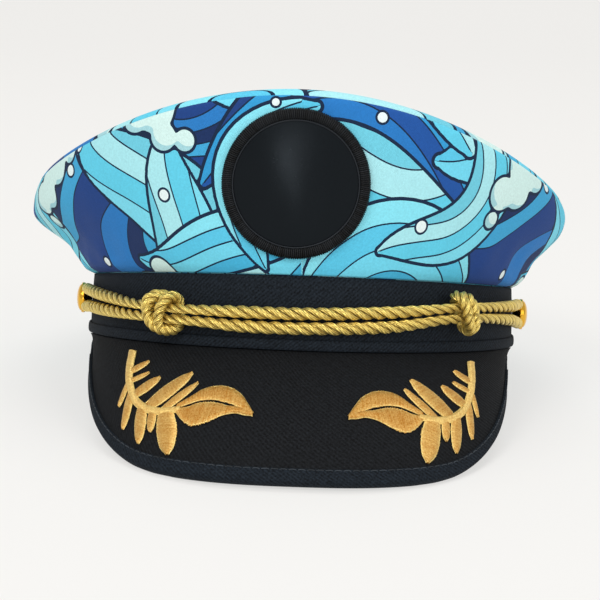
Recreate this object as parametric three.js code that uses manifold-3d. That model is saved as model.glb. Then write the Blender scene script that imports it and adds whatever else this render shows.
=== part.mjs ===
// A captain's hat: a printed cloth crown on a black twill band, a steep cloth-covered peak with
// a bound rim and two gold leaf sprays, a round blank patch, and a gold cord with two slide knots
// that loops round a gilt button at each side.
//
// The hat is worked out in its own frame first: +Z up, the foot of the band on z = 0, the front
// towards -Y. It is then tipped back until the rim of the peak and the back of the band share one
// floor. Azimuth is the turn round the hat in degrees: 0 at the front, 90 at the wearer's left (+X).
import * as THREE from "three";
import { mergeVertices } from "three/addons/utils/BufferGeometryUtils.js";
import Module from "manifold-3d";

const wasm = await Module();
wasm.setup();

// Sizes, in millimetres

// Band, measured outside the cloth
const BAND_HALF_WIDTH = 89;
const BAND_HALF_LENGTH = 102;
const BAND_FRONT_HEIGHT = 28.3;
const BAND_BACK_HEIGHT = 21;
const BAND_DIP = 1.6; // above 1, the band falls away sooner from its height at the front
const BAND_TAPER = 0.8; // how much each side leans in at the top
const BAND_WALL = 2.5;

// Rolled welt round the foot of the band
const WELT_HEIGHT = 4.2;
const WELT_PROUD = 0.9;

// Crown
const CROWN_HALF_WIDTH = 111.5;
const CROWN_FRONT_REACH = 114;
const CROWN_BACK_REACH = 120;
const CROWN_FRONT_HEIGHT = 95.7;
const CROWN_SIDE_HEIGHT = 56.5;
const CROWN_BACK_HEIGHT = 54;
const CROWN_BROW = 6; // how far the top edge dips between the front and the sides
const CROWN_LEAN = -2; // the soft crown has slumped sideways
const CROWN_CANT = 1.2; // and stands higher on that side
const CROWN_WALL = 2;
const ROLL_WIDTH = 12; // the rounded edge of the top panel, inwards from the seam
const ROLL_HEIGHT = 4.2;
const ROLL_FADE = 0.6; // how much of that height is lost at the sides
const TOP_PUFF = 5; // rise of the middle of the top panel
const FOLD_DEPTH = 2.4;

// Peak
const PEAK_HALF_WIDTH = 83.7;
const PEAK_LEAN = -0.7; // the peak sits a little to one side
const PEAK_REACH = 145; // from the middle of the head to the front of the rim
const PEAK_DROP = 44.3;
const PEAK_END_DROP = 5.5;
const PEAK_ROOT = 0.7; // how far outside the band its slope begins
const PEAK_THICKNESS = 2.6;
const PEAK_CROWNING = 2.6;
const PEAK_END_AZIMUTH = 77;
const BINDING_WIDTH = 5;
const BINDING_CLOTH = 0.8;
const TUCK_HEIGHT = 4; // the peak's edge is turned up inside the band
const TUCK_WALL = 1.4;

// Patch
const PATCH_RADIUS = 27.8;
const PATCH_HEIGHT = 63; // its middle above the foot of the band
const PATCH_OFFSET = -3.8;
const PATCH_THICKNESS = 1.4;
const PATCH_BORDER_WIDTH = 4.2;
const PATCH_BORDER_THICKNESS = 2.4;

// Cord, knots and buttons
const CORD_DIAMETER = 5;
const KNOT_DIAMETER = 4.3;
const KNOT_SKEW = 4.5; // how far the front of a knot lies ahead of its back, along the cord
const KNOT_LEAN = 2.3; // the same between its top and its foot
const KNOT_EASE = 0.5; // slack between a knot and the cord inside it
const KNOT_SQUARENESS = 0.8; // 1 is an ellipse
const BUTTON_AZIMUTH = 84;
const BUTTON_RADIUS = 6.4;
const BUTTON_RISE = 3.1;
const SHANK_RADIUS = 0.9;

// Leaf sprays, sewn in satin stitch
const LEAF_WIDTH = 8.3; // the widest leaflet
const STITCH_RISE = 0.8;
const SATIN_SHOULDER = 0.25; // where a strip reaches that rise, as a share of its width
const VEIN_WIDTH = 0.5;
const STAGGER = 0.07; // between the heights of strips sewn over each other

const GAP = 0.3; // between any two pieces
const PRESS = 0.4; // how far the cloth is flattened where it rests

// How finely the pieces are faceted
const COLUMNS = 60;
const PEAK_COLUMNS = 36;
const SLIVER = 0.02;
const CORD_SIDES = 8;
const CORD_STATIONS = 36;
const KNOT_STATIONS = 20;
const PATCH_COLUMNS = 32;
const BUTTON_COLUMNS = 16;

// Tables. Their lengths are shares of the sizes above.

// Section of the crown's side from the band (up 0) to the top seam (up 1): how far out it has come
const CROWN_PROFILE = [
  { up: 0, sideOut: 0, frontOut: 0 },
  { up: 0.05, sideOut: 0.14, frontOut: 0.14 },
  { up: 0.18, sideOut: 0.28, frontOut: 0.36 },
  { up: 0.35, sideOut: 0.44, frontOut: 0.55 },
  { up: 0.52, sideOut: 0.69, frontOut: 0.71 },
  { up: 0.69, sideOut: 0.92, frontOut: 0.85 },
  { up: 0.85, sideOut: 1.01, frontOut: 0.95 },
  { up: 1, sideOut: 1, frontOut: 1 },
];

// Rounded edge of the top panel, from the seam inwards, and the rings inside it
const TOP_PROFILE = [
  { inset: 0, rise: 0 },
  { inset: 0.12, rise: 0.46 },
  { inset: 0.35, rise: 0.82 },
  { inset: 1, rise: 1 },
];
const TOP_RINGS = [0.66, 0.36, 0];

// Slack folds where the crown's side hangs over the band; the one below zero is a swell
const CROWN_FOLDS = [
  { azimuth: -104, spread: 9, up: 0.3, reach: 0.22, depth: 0.8 },
  { azimuth: -88, spread: 22, up: 0.62, reach: 0.2, depth: -1.4 },
  { azimuth: -72, spread: 8, up: 0.28, reach: 0.17, depth: 0.5 },
  { azimuth: -50, spread: 8, up: 0.2, reach: 0.16, depth: 0.5 },
  { azimuth: 64, spread: 8, up: 0.26, reach: 0.18, depth: 0.6 },
  { azimuth: 96, spread: 9, up: 0.34, reach: 0.2, depth: 0.9 },
  { azimuth: 140, spread: 12, up: 0.4, reach: 0.25, depth: 0.7 },
  { azimuth: 222, spread: 12, up: 0.4, reach: 0.25, depth: 0.7 },
];

// Rim of the peak from its ends (forward 0) to the front (forward 1)
const RIM_PROFILE = [
  { forward: 0, drop: 0 },
  { forward: 0.24, drop: 0.21 },
  { forward: 0.58, drop: 0.66 },
  { forward: 0.82, drop: 0.925 },
  { forward: 1, drop: 1 },
];
const RIM_SQUARENESS = 2.7; // 2 is an ellipse seen from above

// Route of the double cord: rise is a share of the band's height at the front, the others of the
// cord's diameter. lift is how far it stands off the band to pass through a knot.
const CORD_ROUTE = [
  { azimuth: -84, rise: 0.49, spread: 1.2, thickness: 0.6, lift: 0 },
  { azimuth: -80, rise: 0.5, spread: 1.14, thickness: 0.6, lift: 0 },
  { azimuth: -72, rise: 0.51, spread: 1.06, thickness: 0.93, lift: 0 },
  { azimuth: -56, rise: 0.48, spread: 1.04, thickness: 0.98, lift: 0.3 },
  { azimuth: -41, rise: 0.44, spread: 0.86, thickness: 0.78, lift: 0.92 },
  { azimuth: -33.5, rise: 0.43, spread: 0.86, thickness: 0.78, lift: 0.92 },
  { azimuth: -26, rise: 0.42, spread: 0.86, thickness: 0.78, lift: 0.92 },
  { azimuth: -15, rise: 0.4, spread: 1.07, thickness: 0.98, lift: 0.2 },
  { azimuth: 0, rise: 0.4, spread: 1.11, thickness: 1, lift: 0 },
  { azimuth: 22, rise: 0.45, spread: 1.1, thickness: 0.98, lift: 0.1 },
  { azimuth: 34, rise: 0.53, spread: 0.86, thickness: 0.78, lift: 0.92 },
  { azimuth: 41, rise: 0.55, spread: 0.86, thickness: 0.78, lift: 0.92 },
  { azimuth: 48, rise: 0.55, spread: 0.86, thickness: 0.78, lift: 0.92 },
  { azimuth: 66, rise: 0.52, spread: 1.06, thickness: 0.94, lift: 0.3 },
  { azimuth: 73, rise: 0.5, spread: 1.12, thickness: 0.9, lift: 0 },
  { azimuth: 80, rise: 0.48, spread: 1.18, thickness: 0.6, lift: 0 },
  { azimuth: 84, rise: 0.465, spread: 1.24, thickness: 0.6, lift: 0 },
];
// Leaf sprays. aside and down are shares of the peak's half turn and of its depth; width is a
// share of LEAF_WIDTH.
const STEM = [
  { aside: 0.59, down: 0.13, width: 0.5 },
  { aside: 0.574, down: 0.31, width: 0.5 },
  { aside: 0.548, down: 0.45, width: 0.48 },
  { aside: 0.49, down: 0.575, width: 0.42 },
  { aside: 0.4, down: 0.605, width: 0.36 },
  { aside: 0.31, down: 0.56, width: 0.28 },
];
const LEAFLETS = [
  { aside: 0.57, down: 0.35, tipAside: 0.496, tipDown: 0.2, width: 0.34 },
  { aside: 0.552, down: 0.435, tipAside: 0.478, tipDown: 0.305, width: 0.23 },
  { aside: 0.51, down: 0.53, tipAside: 0.426, tipDown: 0.325, width: 0.52 },
  { aside: 0.435, down: 0.585, tipAside: 0.314, tipDown: 0.255, width: 0.72 },
  { aside: 0.375, down: 0.59, tipAside: 0.282, tipDown: 0.335, width: 0.38 },
  { aside: 0.557, down: 0.45, tipAside: 0.566, tipDown: 0.68, width: 0.3 },
  { aside: 0.528, down: 0.52, tipAside: 0.516, tipDown: 0.825, width: 0.55 },
  { aside: 0.46, down: 0.59, tipAside: 0.43, tipDown: 0.87, width: 0.7 },
  { aside: 0.41, down: 0.6, tipAside: 0.396, tipDown: 0.765, width: 0.46 },
  { aside: 0.362, down: 0.58, tipAside: 0.308, tipDown: 0.895, width: 1 },
];
const LEAFLET_OUTLINE = [
  { at: 0, width: 0.72 },
  { at: 0.4, width: 1 },
  { at: 0.82, width: 0.72 },
  { at: 1, width: 0.14 },
];
const FRONT_LEAF = [
  { aside: 0.325, upper: 0.53, vein: 0.555, lower: 0.58 },
  { aside: 0.29, upper: 0.46, vein: 0.525, lower: 0.64 },
  { aside: 0.255, upper: 0.385, vein: 0.487, lower: 0.664 },
  { aside: 0.214, upper: 0.35, vein: 0.471, lower: 0.63 },
  { aside: 0.175, upper: 0.356, vein: 0.483, lower: 0.573 },
  { aside: 0.14, upper: 0.4, vein: 0.5, lower: 0.548 },
  { aside: 0.115, upper: 0.465, vein: 0.525, lower: 0.558 },
  { aside: 0.092, upper: 0.54, vein: 0.55, lower: 0.56 },
];
const SPRAYS = [
  { name: "left_spray", side: -1, shift: 0 },
  { name: "right_spray", side: 1, shift: 0.018 },
];
const KNOTS = [
  { name: "left_knot", azimuth: -33.5 },
  { name: "right_knot", azimuth: 41 },
];

// Materials and small tools

const paint = (color, roughness, metalness = 0) =>
  new THREE.MeshStandardMaterial({ color, roughness, metalness });
const printedCloth = paint(0x58c7ee, 0.75);
const blackTwill = paint(0x14161a, 0.85);
const peakCloth = paint(0x101013, 0.8);
const patchLeather = paint(0x191b1d, 0.5);
const borderThread = paint(0x0d0c0e, 0.8);
const goldCord = paint(0xc9a24a, 0.45, 0.4);
const giltMetal = paint(0xe3ac2a, 0.22, 1);
const goldThread = paint(0xd9a23c, 0.5, 0.3);

const rad = THREE.MathUtils.degToRad;
const lerp = THREE.MathUtils.lerp;
const sign = Math.sign;
const steps = (count) => Array.from({ length: count }, (_, i) => i);
const spaced = (from, to, count) => steps(count).map((i) => lerp(from, to, i / (count - 1)));

// One column of a table at `at`, on a smooth curve through its rows
function along(table, key, name, at) {
  const last = table.length - 1;
  const x = THREE.MathUtils.clamp(at, table[0][key], table[last][key]);
  const i = Math.min(last - 1, Math.max(0, table.findIndex((row) => row[key] >= x) - 1));
  const slope = (k) => {
    const a = table[Math.max(0, k - 1)];
    const b = table[Math.min(last, k + 1)];
    return (b[name] - a[name]) / (b[key] - a[key]);
  };
  const span = table[i + 1][key] - table[i][key];
  const t = (x - table[i][key]) / span;
  return (
    (1 + 2 * t) * (1 - t) ** 2 * table[i][name] +
    t * (1 - t) ** 2 * span * slope(i) +
    t * t * (3 - 2 * t) * table[i + 1][name] +
    t * t * (t - 1) * span * slope(i + 1)
  );
}

// Signed volume of an indexed geometry: negative where its faces point inwards
function volumeOf(geometry) {
  const position = geometry.attributes.position;
  const index = geometry.index.array;
  const [a, b, c] = [new THREE.Vector3(), new THREE.Vector3(), new THREE.Vector3()];
  let volume = 0;
  for (let i = 0; i < index.length; i += 3) {
    a.fromBufferAttribute(position, index[i]);
    b.fromBufferAttribute(position, index[i + 1]);
    c.fromBufferAttribute(position, index[i + 2]);
    volume += a.dot(b.cross(c)) / 6;
  }
  return volume;
}

// A closed geometry from points and triangles: points that meet are merged, triangles that have
// shrunk to a line are left out, and the faces are turned to point outwards
function closedGeometry(points, triangles) {
  const raw = new THREE.BufferGeometry().setFromPoints(points);
  raw.setIndex(triangles.flat());
  const merged = mergeVertices(raw, 1e-4);
  const kept = [];
  for (let i = 0; i < merged.index.count; i += 3) {
    const [a, b, c] = merged.index.array.slice(i, i + 3);
    if (a !== b && b !== c && c !== a) kept.push(a, b, c);
  }
  merged.setIndex(kept);
  if (volumeOf(merged) < 0) merged.setIndex([...kept].reverse());
  return merged;
}

// A solid whose closed sections follow each other. `ring` joins the last section to the first;
// otherwise both ends are closed by pairing the first half of the section's points with the rest.
function loft(sections, ring) {
  const points = sections.flat();
  const size = sections[0].length;
  const triangles = [];
  const spans = ring ? sections.length : sections.length - 1;
  for (let s = 0; s < spans; s += 1) {
    const here = s * size;
    const next = ((s + 1) % sections.length) * size;
    for (let k = 0; k < size; k += 1) {
      const m = (k + 1) % size;
      const [a, b, c, d] = [here + k, next + k, next + m, here + m];
      if (points[a].distanceTo(points[c]) < points[b].distanceTo(points[d])) {
        triangles.push([a, b, c], [a, c, d]);
      } else {
        triangles.push([a, b, d], [b, c, d]);
      }
    }
  }
  if (!ring) {
    const end = (sections.length - 1) * size;
    for (let k = 0; k < size / 2 - 1; k += 1) {
      const [a, b, c, d] = [k, k + 1, size - 2 - k, size - 1 - k];
      triangles.push([a, b, d], [end + a, end + d, end + b]);
      if (b !== c) triangles.push([b, c, d], [end + b, end + d, end + c]);
    }
  }
  return closedGeometry(points, triangles);
}

const solidOf = (geometry) => {
  const plain = geometry.clone();
  plain.deleteAttribute("normal");
  plain.deleteAttribute("uv");
  const merged = mergeVertices(plain, 1e-4);
  return new wasm.Manifold(
    new wasm.Mesh({
      numProp: 3,
      vertProperties: new Float32Array(merged.attributes.position.array),
      triVerts: new Uint32Array(merged.index.array),
    }),
  );
};

// The geometry of a joined or cut solid, without the slivers that joining leaves
function geometryOf(solid) {
  const mesh = solid.simplify(SLIVER).getMesh();
  const geometry = new THREE.BufferGeometry();
  geometry.setAttribute("position", new THREE.BufferAttribute(mesh.vertProperties, 3));
  geometry.setIndex(new THREE.BufferAttribute(mesh.triVerts, 1));
  return geometry;
}

function piece(name, geometry, material) {
  const mesh = new THREE.Mesh(geometry, material);
  mesh.name = name;
  return mesh;
}

// Band

const point = (x, y, z) => new THREE.Vector3(x, y, z);
const ringAzimuths = steps(COLUMNS).map((i) => (360 * i) / COLUMNS);

// Level direction that faces away from the head
function outward(azimuth) {
  const a = rad(azimuth);
  return point(Math.sin(a) / BAND_HALF_WIDTH, -Math.cos(a) / BAND_HALF_LENGTH, 0).normalize();
}

function bandHeight(azimuth) {
  const frontness = ((1 + Math.cos(rad(azimuth))) / 2) ** BAND_DIP;
  return lerp(BAND_BACK_HEIGHT, BAND_FRONT_HEIGHT, frontness);
}

// A point `off` outside the band's cloth, at height z
function onBand(azimuth, z, off = 0) {
  const a = rad(azimuth);
  const lean = (BAND_TAPER * z) / BAND_FRONT_HEIGHT;
  return point(
    (BAND_HALF_WIDTH - lean) * Math.sin(a),
    -(BAND_HALF_LENGTH - lean) * Math.cos(a),
    z,
  ).addScaledVector(outward(azimuth), off);
}

const bandGeometry = loft(
  ringAzimuths.map((azimuth) => {
    const top = bandHeight(azimuth);
    return [
      onBand(azimuth, 0),
      onBand(azimuth, top / 2),
      onBand(azimuth, top),
      onBand(azimuth, top, -BAND_WALL),
      onBand(azimuth, 0, -BAND_WALL),
    ];
  }),
  true,
);

// Welt: a rounded strip [off the band, up], as shares of its thickness and height
const WELT_SECTION = [
  [0, 0],
  [0.7, 0.02],
  [1, 0.2],
  [1, 0.78],
  [0.7, 0.97],
  [0, 1],
];
const weltGeometry = loft(
  ringAzimuths.map((azimuth) =>
    WELT_SECTION.map(([off, up]) => onBand(azimuth, up * WELT_HEIGHT, GAP + off * WELT_PROUD)),
  ),
  true,
);

// Crown

// The height of the top seam, as harmonics, so that the top panel can be stretched inside it:
// rho is 1 at the seam and 0 at the middle
function seamHeight(azimuth, rho = 1) {
  const a = rad(azimuth);
  const mean = (CROWN_FRONT_HEIGHT + CROWN_BACK_HEIGHT + 2 * CROWN_SIDE_HEIGHT) / 4;
  const first = (CROWN_FRONT_HEIGHT - CROWN_BACK_HEIGHT) / 2 - CROWN_BROW / 4;
  const second = (CROWN_FRONT_HEIGHT + CROWN_BACK_HEIGHT - 2 * CROWN_SIDE_HEIGHT) / 4;
  const third = CROWN_BROW / 4;
  return (
    mean +
    first * rho * Math.cos(a) +
    second * rho ** 2 * Math.cos(2 * a) +
    third * rho ** 3 * Math.cos(3 * a) -
    CROWN_CANT * rho * Math.sin(a)
  );
}

function seamPlan(azimuth, rho = 1) {
  const a = rad(azimuth);
  const reach = Math.cos(a) > 0 ? CROWN_FRONT_REACH : CROWN_BACK_REACH;
  return { x: rho * CROWN_HALF_WIDTH * Math.sin(a) + CROWN_LEAN, y: -rho * reach * Math.cos(a) };
}

function foldDepth(azimuth, up) {
  return CROWN_FOLDS.reduce((depth, fold) => {
    const turn = ((azimuth - fold.azimuth + 540) % 360) - 180;
    const near = Math.exp(-((turn / fold.spread) ** 2) - ((up - fold.up) / fold.reach) ** 2);
    return depth + FOLD_DEPTH * fold.depth * near;
  }, 0);
}

// The crown's side: `up` runs from the band (0) to the top seam (1)
function onCrown(azimuth, up) {
  const foot = onBand(azimuth, bandHeight(azimuth));
  const seam = seamPlan(azimuth);
  const frontness = Math.max(0, Math.cos(rad(azimuth))) ** 1.5;
  const out = lerp(
    along(CROWN_PROFILE, "up", "sideOut", up),
    along(CROWN_PROFILE, "up", "frontOut", up),
    frontness,
  );
  const rise = lerp(foot.z + GAP, seamHeight(azimuth) - GAP / 2, up);
  return point(lerp(foot.x, seam.x, out), lerp(foot.y, seam.y, out), rise).addScaledVector(
    outward(azimuth),
    -foldDepth(azimuth, up) * Math.min(1, up * 8) * Math.min(1, (1 - up) * 8),
  );
}

// Outward direction of a surface given as a function of two numbers
function facing(surface, u, v, du, dv) {
  const acrossU = surface(u + du, v).sub(surface(u - du, v));
  const acrossV = surface(u, v + dv).sub(surface(u, v - dv));
  return acrossU.cross(acrossV).normalize();
}

const crownFacing = (azimuth, up) =>
  facing(onCrown, azimuth, THREE.MathUtils.clamp(up, 0.01, 0.99), 0.5, 0.01);

const crownSideGeometry = loft(
  ringAzimuths.map((azimuth) => {
    const ups = CROWN_PROFILE.map((row) => row.up);
    const outer = ups.map((up) => onCrown(azimuth, up));
    const inner = ups.map((up, i) => {
      const level = i === 0 || i === ups.length - 1;
      const direction = level ? outward(azimuth) : crownFacing(azimuth, up);
      return onCrown(azimuth, up).addScaledVector(direction, -CROWN_WALL);
    });
    return [...outer, ...inner.reverse()];
  }),
  true,
);

// The top panel: `inset` is the distance in from the seam, as a share of the crown's half width
function onTop(azimuth, rho) {
  const { x, y } = seamPlan(azimuth, rho);
  const inset = ((1 - rho) * CROWN_HALF_WIDTH) / ROLL_WIDTH;
  const fade = 1 - ROLL_FADE * (rho * Math.sin(rad(azimuth))) ** 2;
  const roll = ROLL_HEIGHT * fade * along(TOP_PROFILE, "inset", "rise", inset);
  return point(x, y, seamHeight(azimuth, rho) + GAP / 2 + roll + TOP_PUFF * (1 - rho ** 2));
}

const crownTopGeometry = loft(
  ringAzimuths.map((azimuth) => {
    const rollRhos = TOP_PROFILE.map((row) => 1 - (row.inset * ROLL_WIDTH) / CROWN_HALF_WIDTH);
    const rhos = [...rollRhos, ...TOP_RINGS];
    const outer = rhos.map((rho) => onTop(azimuth, rho));
    const inner = rhos.map((rho, i) => {
      let direction = facing(onTop, azimuth, rho, 0.5, -0.004);
      if (i === 0) direction = outward(azimuth);
      if (rho === 0) direction = point(0, 0, 1);
      return onTop(azimuth, rho).addScaledVector(direction, -CROWN_WALL);
    });
    return [...outer, ...inner.reverse()];
  }),
  true,
);

// Peak

// A point on the rim: `turn` runs from -1 at the left end through 0 at the front to 1
function onRim(turn) {
  const a = rad(90 * turn);
  const root = 2 / RIM_SQUARENESS;
  const aside = sign(turn) * Math.abs(Math.sin(a)) ** root;
  const forward = Math.abs(Math.cos(a)) ** root;
  const end = onBand(PEAK_END_AZIMUTH, 0);
  const drop = lerp(PEAK_END_DROP, PEAK_DROP, along(RIM_PROFILE, "forward", "drop", forward));
  return point(aside * PEAK_HALF_WIDTH + PEAK_LEAN, end.y - forward * (PEAK_REACH + end.y), -drop);
}

// The upper face of the peak: `down` runs from the band (0) to the rim (1), `over` is the
// distance above it
function onPeak(turn, down) {
  const root = onBand(PEAK_END_AZIMUTH * turn, 0, PEAK_ROOT).setZ(-GAP);
  const rim = onRim(turn);
  const crowning = PEAK_CROWNING * 4 * down * (1 - down) * (1 - turn ** 4);
  const raise = point(rim.x - root.x, rim.y - root.y, 0).normalize().setZ(1).normalize();
  return root.lerp(rim, down).addScaledVector(raise, crowning);
}

// Outward direction, kept from turning downwards where the ends of the peak run in
function peakFacing(turn, down) {
  const [safeTurn, safeDown] = [
    THREE.MathUtils.clamp(turn, -0.985, 0.985),
    THREE.MathUtils.clamp(down, 0.02, 0.98),
  ];
  const direction = facing(onPeak, safeTurn, safeDown, 0.01, -0.02);
  return direction.setZ(Math.max(direction.z, 0.1)).normalize();
}

const abovePeak = (turn, down, over) =>
  onPeak(turn, down).addScaledVector(peakFacing(turn, down), over);

// Turns are closer together towards the ends, where the rim is steepest
const peakTurns = spaced(-1, 1, PEAK_COLUMNS + 1).map((t) => 0.55 * t + 0.45 * Math.sin(rad(90 * t)));

// Where the binding's inner edge lies. The binding narrows where the peak runs out at its ends.
function bindingInner(turn) {
  const depth = onPeak(turn, 1).distanceTo(onPeak(turn, 0));
  return 1 - Math.min(BINDING_WIDTH / depth, 0.5);
}

// Inside the band: `depth` is the distance in from its inner face
const tucked = (turn, z, depth) => onBand(PEAK_END_AZIMUTH * turn, z, -BAND_WALL - GAP - depth);

const peakGeometry = loft(
  peakTurns.map((turn) => {
    const downs = [...spaced(0, bindingInner(turn), 5), 1];
    return [
      tucked(turn, TUCK_HEIGHT, 0),
      tucked(turn, -GAP, 0),
      ...downs.map((down) => onPeak(turn, down)),
      ...downs.map((down) => abovePeak(turn, down, -PEAK_THICKNESS)).reverse(),
      tucked(turn, -GAP - TUCK_WALL, TUCK_WALL),
      tucked(turn, TUCK_HEIGHT, TUCK_WALL),
    ];
  }),
  false,
);

// Binding: a strip folded over the rim, `off` from the peak
function foldOver(turn, off) {
  const rim = onPeak(turn, 1);
  const inner = bindingInner(turn);
  const outwards = rim.clone().sub(onPeak(turn, 0.9)).setLength(off);
  return [
    abovePeak(turn, inner, off),
    abovePeak(turn, 1, off),
    rim.clone().add(outwards),
    abovePeak(turn, 1, -PEAK_THICKNESS).add(outwards),
    abovePeak(turn, 1, -PEAK_THICKNESS - off),
    abovePeak(turn, inner, -PEAK_THICKNESS - off),
  ];
}
const bindingGeometry = loft(
  peakTurns.map((turn) => [
    ...foldOver(turn, GAP + BINDING_CLOTH),
    ...foldOver(turn, GAP).reverse(),
  ]),
  false,
);

// How the hat rests: it is tipped back until its front and its back share a floor

function lowest(geometry, tilt, front) {
  const position = geometry.attributes.position;
  let low = Infinity;
  for (let i = 0; i < position.count; i += 1) {
    const y = position.getY(i);
    const height = position.getZ(i) * Math.cos(tilt) - y * Math.sin(tilt);
    if (y < 0 === front) low = Math.min(low, height);
  }
  return low;
}

function restingTilt() {
  let [flat, steep] = [0, Math.PI / 4];
  for (let i = 0; i < 40; i += 1) {
    const tilt = (flat + steep) / 2;
    if (lowest(bindingGeometry, tilt, true) < lowest(weltGeometry, tilt, false)) flat = tilt;
    else steep = tilt;
  }
  return flat;
}
const tilt = restingTilt();
const floor = lowest(bindingGeometry, tilt, true) + PRESS;

// Flattens a piece where it presses on the floor
function pressed(geometry) {
  const depth = 40;
  const block = new THREE.BoxGeometry(4 * CROWN_HALF_WIDTH, 4 * PEAK_REACH, depth);
  block.translate(0, 0, floor - depth / 2);
  block.rotateX(tilt);
  return geometryOf(solidOf(geometry).subtract(solidOf(block)));
}

// Patch

// The front of the crown where it has this x and z, `over` the cloth
function onCrownFront(x, z, over) {
  let azimuth = 0;
  let up = 0.5;
  for (let i = 0; i < 12; i += 1) {
    const here = onCrown(azimuth, up);
    azimuth += THREE.MathUtils.radToDeg((x - here.x) / CROWN_HALF_WIDTH);
    up += (z - here.z) / (CROWN_FRONT_HEIGHT - BAND_FRONT_HEIGHT);
    up = THREE.MathUtils.clamp(up, 0, 1);
  }
  return onCrown(azimuth, up).addScaledVector(crownFacing(azimuth, up), over);
}

// A point of the patch at `radius` from its middle, laid round the curve of the crown
function onPatch(radius, angle, over) {
  const aside = CROWN_FRONT_REACH * Math.sin((radius * Math.cos(angle)) / CROWN_FRONT_REACH);
  return onCrownFront(PATCH_OFFSET + aside, PATCH_HEIGHT + radius * Math.sin(angle), over);
}

const patchAngles = steps(PATCH_COLUMNS).map((i) => (2 * Math.PI * i) / PATCH_COLUMNS);
const patchDiscRadius = PATCH_RADIUS - PATCH_BORDER_WIDTH - GAP;
const patchGeometry = loft(
  patchAngles.map((angle) => {
    const radii = [1, 0.66, 0.33, 0].map((share) => share * patchDiscRadius);
    return [
      ...radii.map((radius) => onPatch(radius, angle, 2 * GAP + PATCH_THICKNESS)),
      ...radii.map((radius) => onPatch(radius, angle, 2 * GAP)).reverse(),
    ];
  }),
  true,
);

// The patch's sewn border: [across its width, up its thickness], as shares
const BORDER_SECTION = [
  [0, 0],
  [0, 0.55],
  [0.22, 0.9],
  [0.5, 1],
  [0.78, 0.85],
  [1, 0.45],
  [1, 0],
];
const borderGeometry = loft(
  patchAngles.map((angle) =>
    BORDER_SECTION.map(([across, up]) =>
      onPatch(
        PATCH_RADIUS - PATCH_BORDER_WIDTH * (1 - across),
        angle,
        2 * GAP + up * PATCH_BORDER_THICKNESS,
      ),
    ),
  ),
  true,
);

// Leaf sprays

// A strip of satin stitch, `over` the peak, between pairs of points on it given as [turn, down]
function satin(edges, over) {
  const part = ([from, to], share, rise) =>
    abovePeak(lerp(from[0], to[0], share), lerp(from[1], to[1], share), over + rise);
  return loft(
    edges.map((edge) => [
      part(edge, 0, 0),
      part(edge, SATIN_SHOULDER, STITCH_RISE),
      part(edge, 1 - SATIN_SHOULDER, STITCH_RISE),
      part(edge, 1, 0),
    ]),
    false,
  );
}

// The two edges of a strip that is `width` wide at each [turn, down, width] of its middle line
function stripEdges(line) {
  return line.map(([turn, down, width], i) => {
    const [fromTurn, fromDown] = line[Math.max(0, i - 1)];
    const [toTurn, toDown] = line[Math.min(line.length - 1, i + 1)];
    const turnLength = onPeak(turn + 0.01, down).distanceTo(onPeak(turn - 0.01, down)) / 0.02;
    const downLength = onPeak(turn, 1).distanceTo(onPeak(turn, 0));
    const alongTurn = (toTurn - fromTurn) * turnLength;
    const alongDown = (toDown - fromDown) * downLength;
    const length = Math.hypot(alongTurn, alongDown);
    const turnStep = (-alongDown / length) * (width / 2 / turnLength);
    const downStep = (alongTurn / length) * (width / 2 / downLength);
    return [
      [turn + turnStep, down + downStep],
      [turn - turnStep, down - downStep],
    ];
  });
}

function spray({ side, shift }) {
  const turnAt = (aside) => side * (aside + shift);
  const stem = STEM.map(({ aside, down, width }) => [turnAt(aside), down, width * LEAF_WIDTH]);
  const leaflets = LEAFLETS.map((leaf) =>
    LEAFLET_OUTLINE.map(({ at, width }) => [
      turnAt(lerp(leaf.aside, leaf.tipAside, at)),
      lerp(leaf.down, leaf.tipDown, at),
      width * leaf.width * LEAF_WIDTH,
    ]),
  );
  const last = FRONT_LEAF.length - 1;
  const lobe = (edge, way) =>
    FRONT_LEAF.map((row, i) => {
      const open = i > 0 && i < last - 1;
      const slit = ((open ? 1 : -1) * way * VEIN_WIDTH) / 2 / PEAK_DROP;
      return [
        [turnAt(row.aside), row[edge]],
        [turnAt(row.aside), row.vein + slit],
      ];
    });
  const strips = [
    stripEdges(stem),
    ...leaflets.map(stripEdges),
    lobe("upper", -1),
    lobe("lower", 1),
  ];
  const solids = strips.map((edges, i) => solidOf(satin(edges, 2 * GAP + (i % 3) * STAGGER)));
  return geometryOf(solids.reduce((whole, strip) => whole.add(strip)));
}

// Cord, knots and buttons

const onRoute = (name, azimuth) => along(CORD_ROUTE, "azimuth", name, azimuth);
const routeMiddle = (azimuth) => BAND_FRONT_HEIGHT * onRoute("rise", azimuth);
const cordRadius = (azimuth) => (CORD_DIAMETER / 2) * onRoute("thickness", azimuth);
const halfSpread = (azimuth) => (CORD_DIAMETER / 2) * onRoute("spread", azimuth);
const cordStandOff = (azimuth) =>
  GAP + cordRadius(azimuth) + CORD_DIAMETER * onRoute("lift", azimuth);

// Level direction round the band, towards greater azimuths
const sideways = (azimuth) => point(0, 0, 1).cross(outward(azimuth));

function ringOf(centre, radius, axisA, axisB) {
  return steps(CORD_SIDES).map((k) => {
    const a = (2 * Math.PI * (k + 0.5)) / CORD_SIDES;
    return centre
      .clone()
      .addScaledVector(axisA, radius * Math.cos(a))
      .addScaledVector(axisB, radius * Math.sin(a));
  });
}

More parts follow.
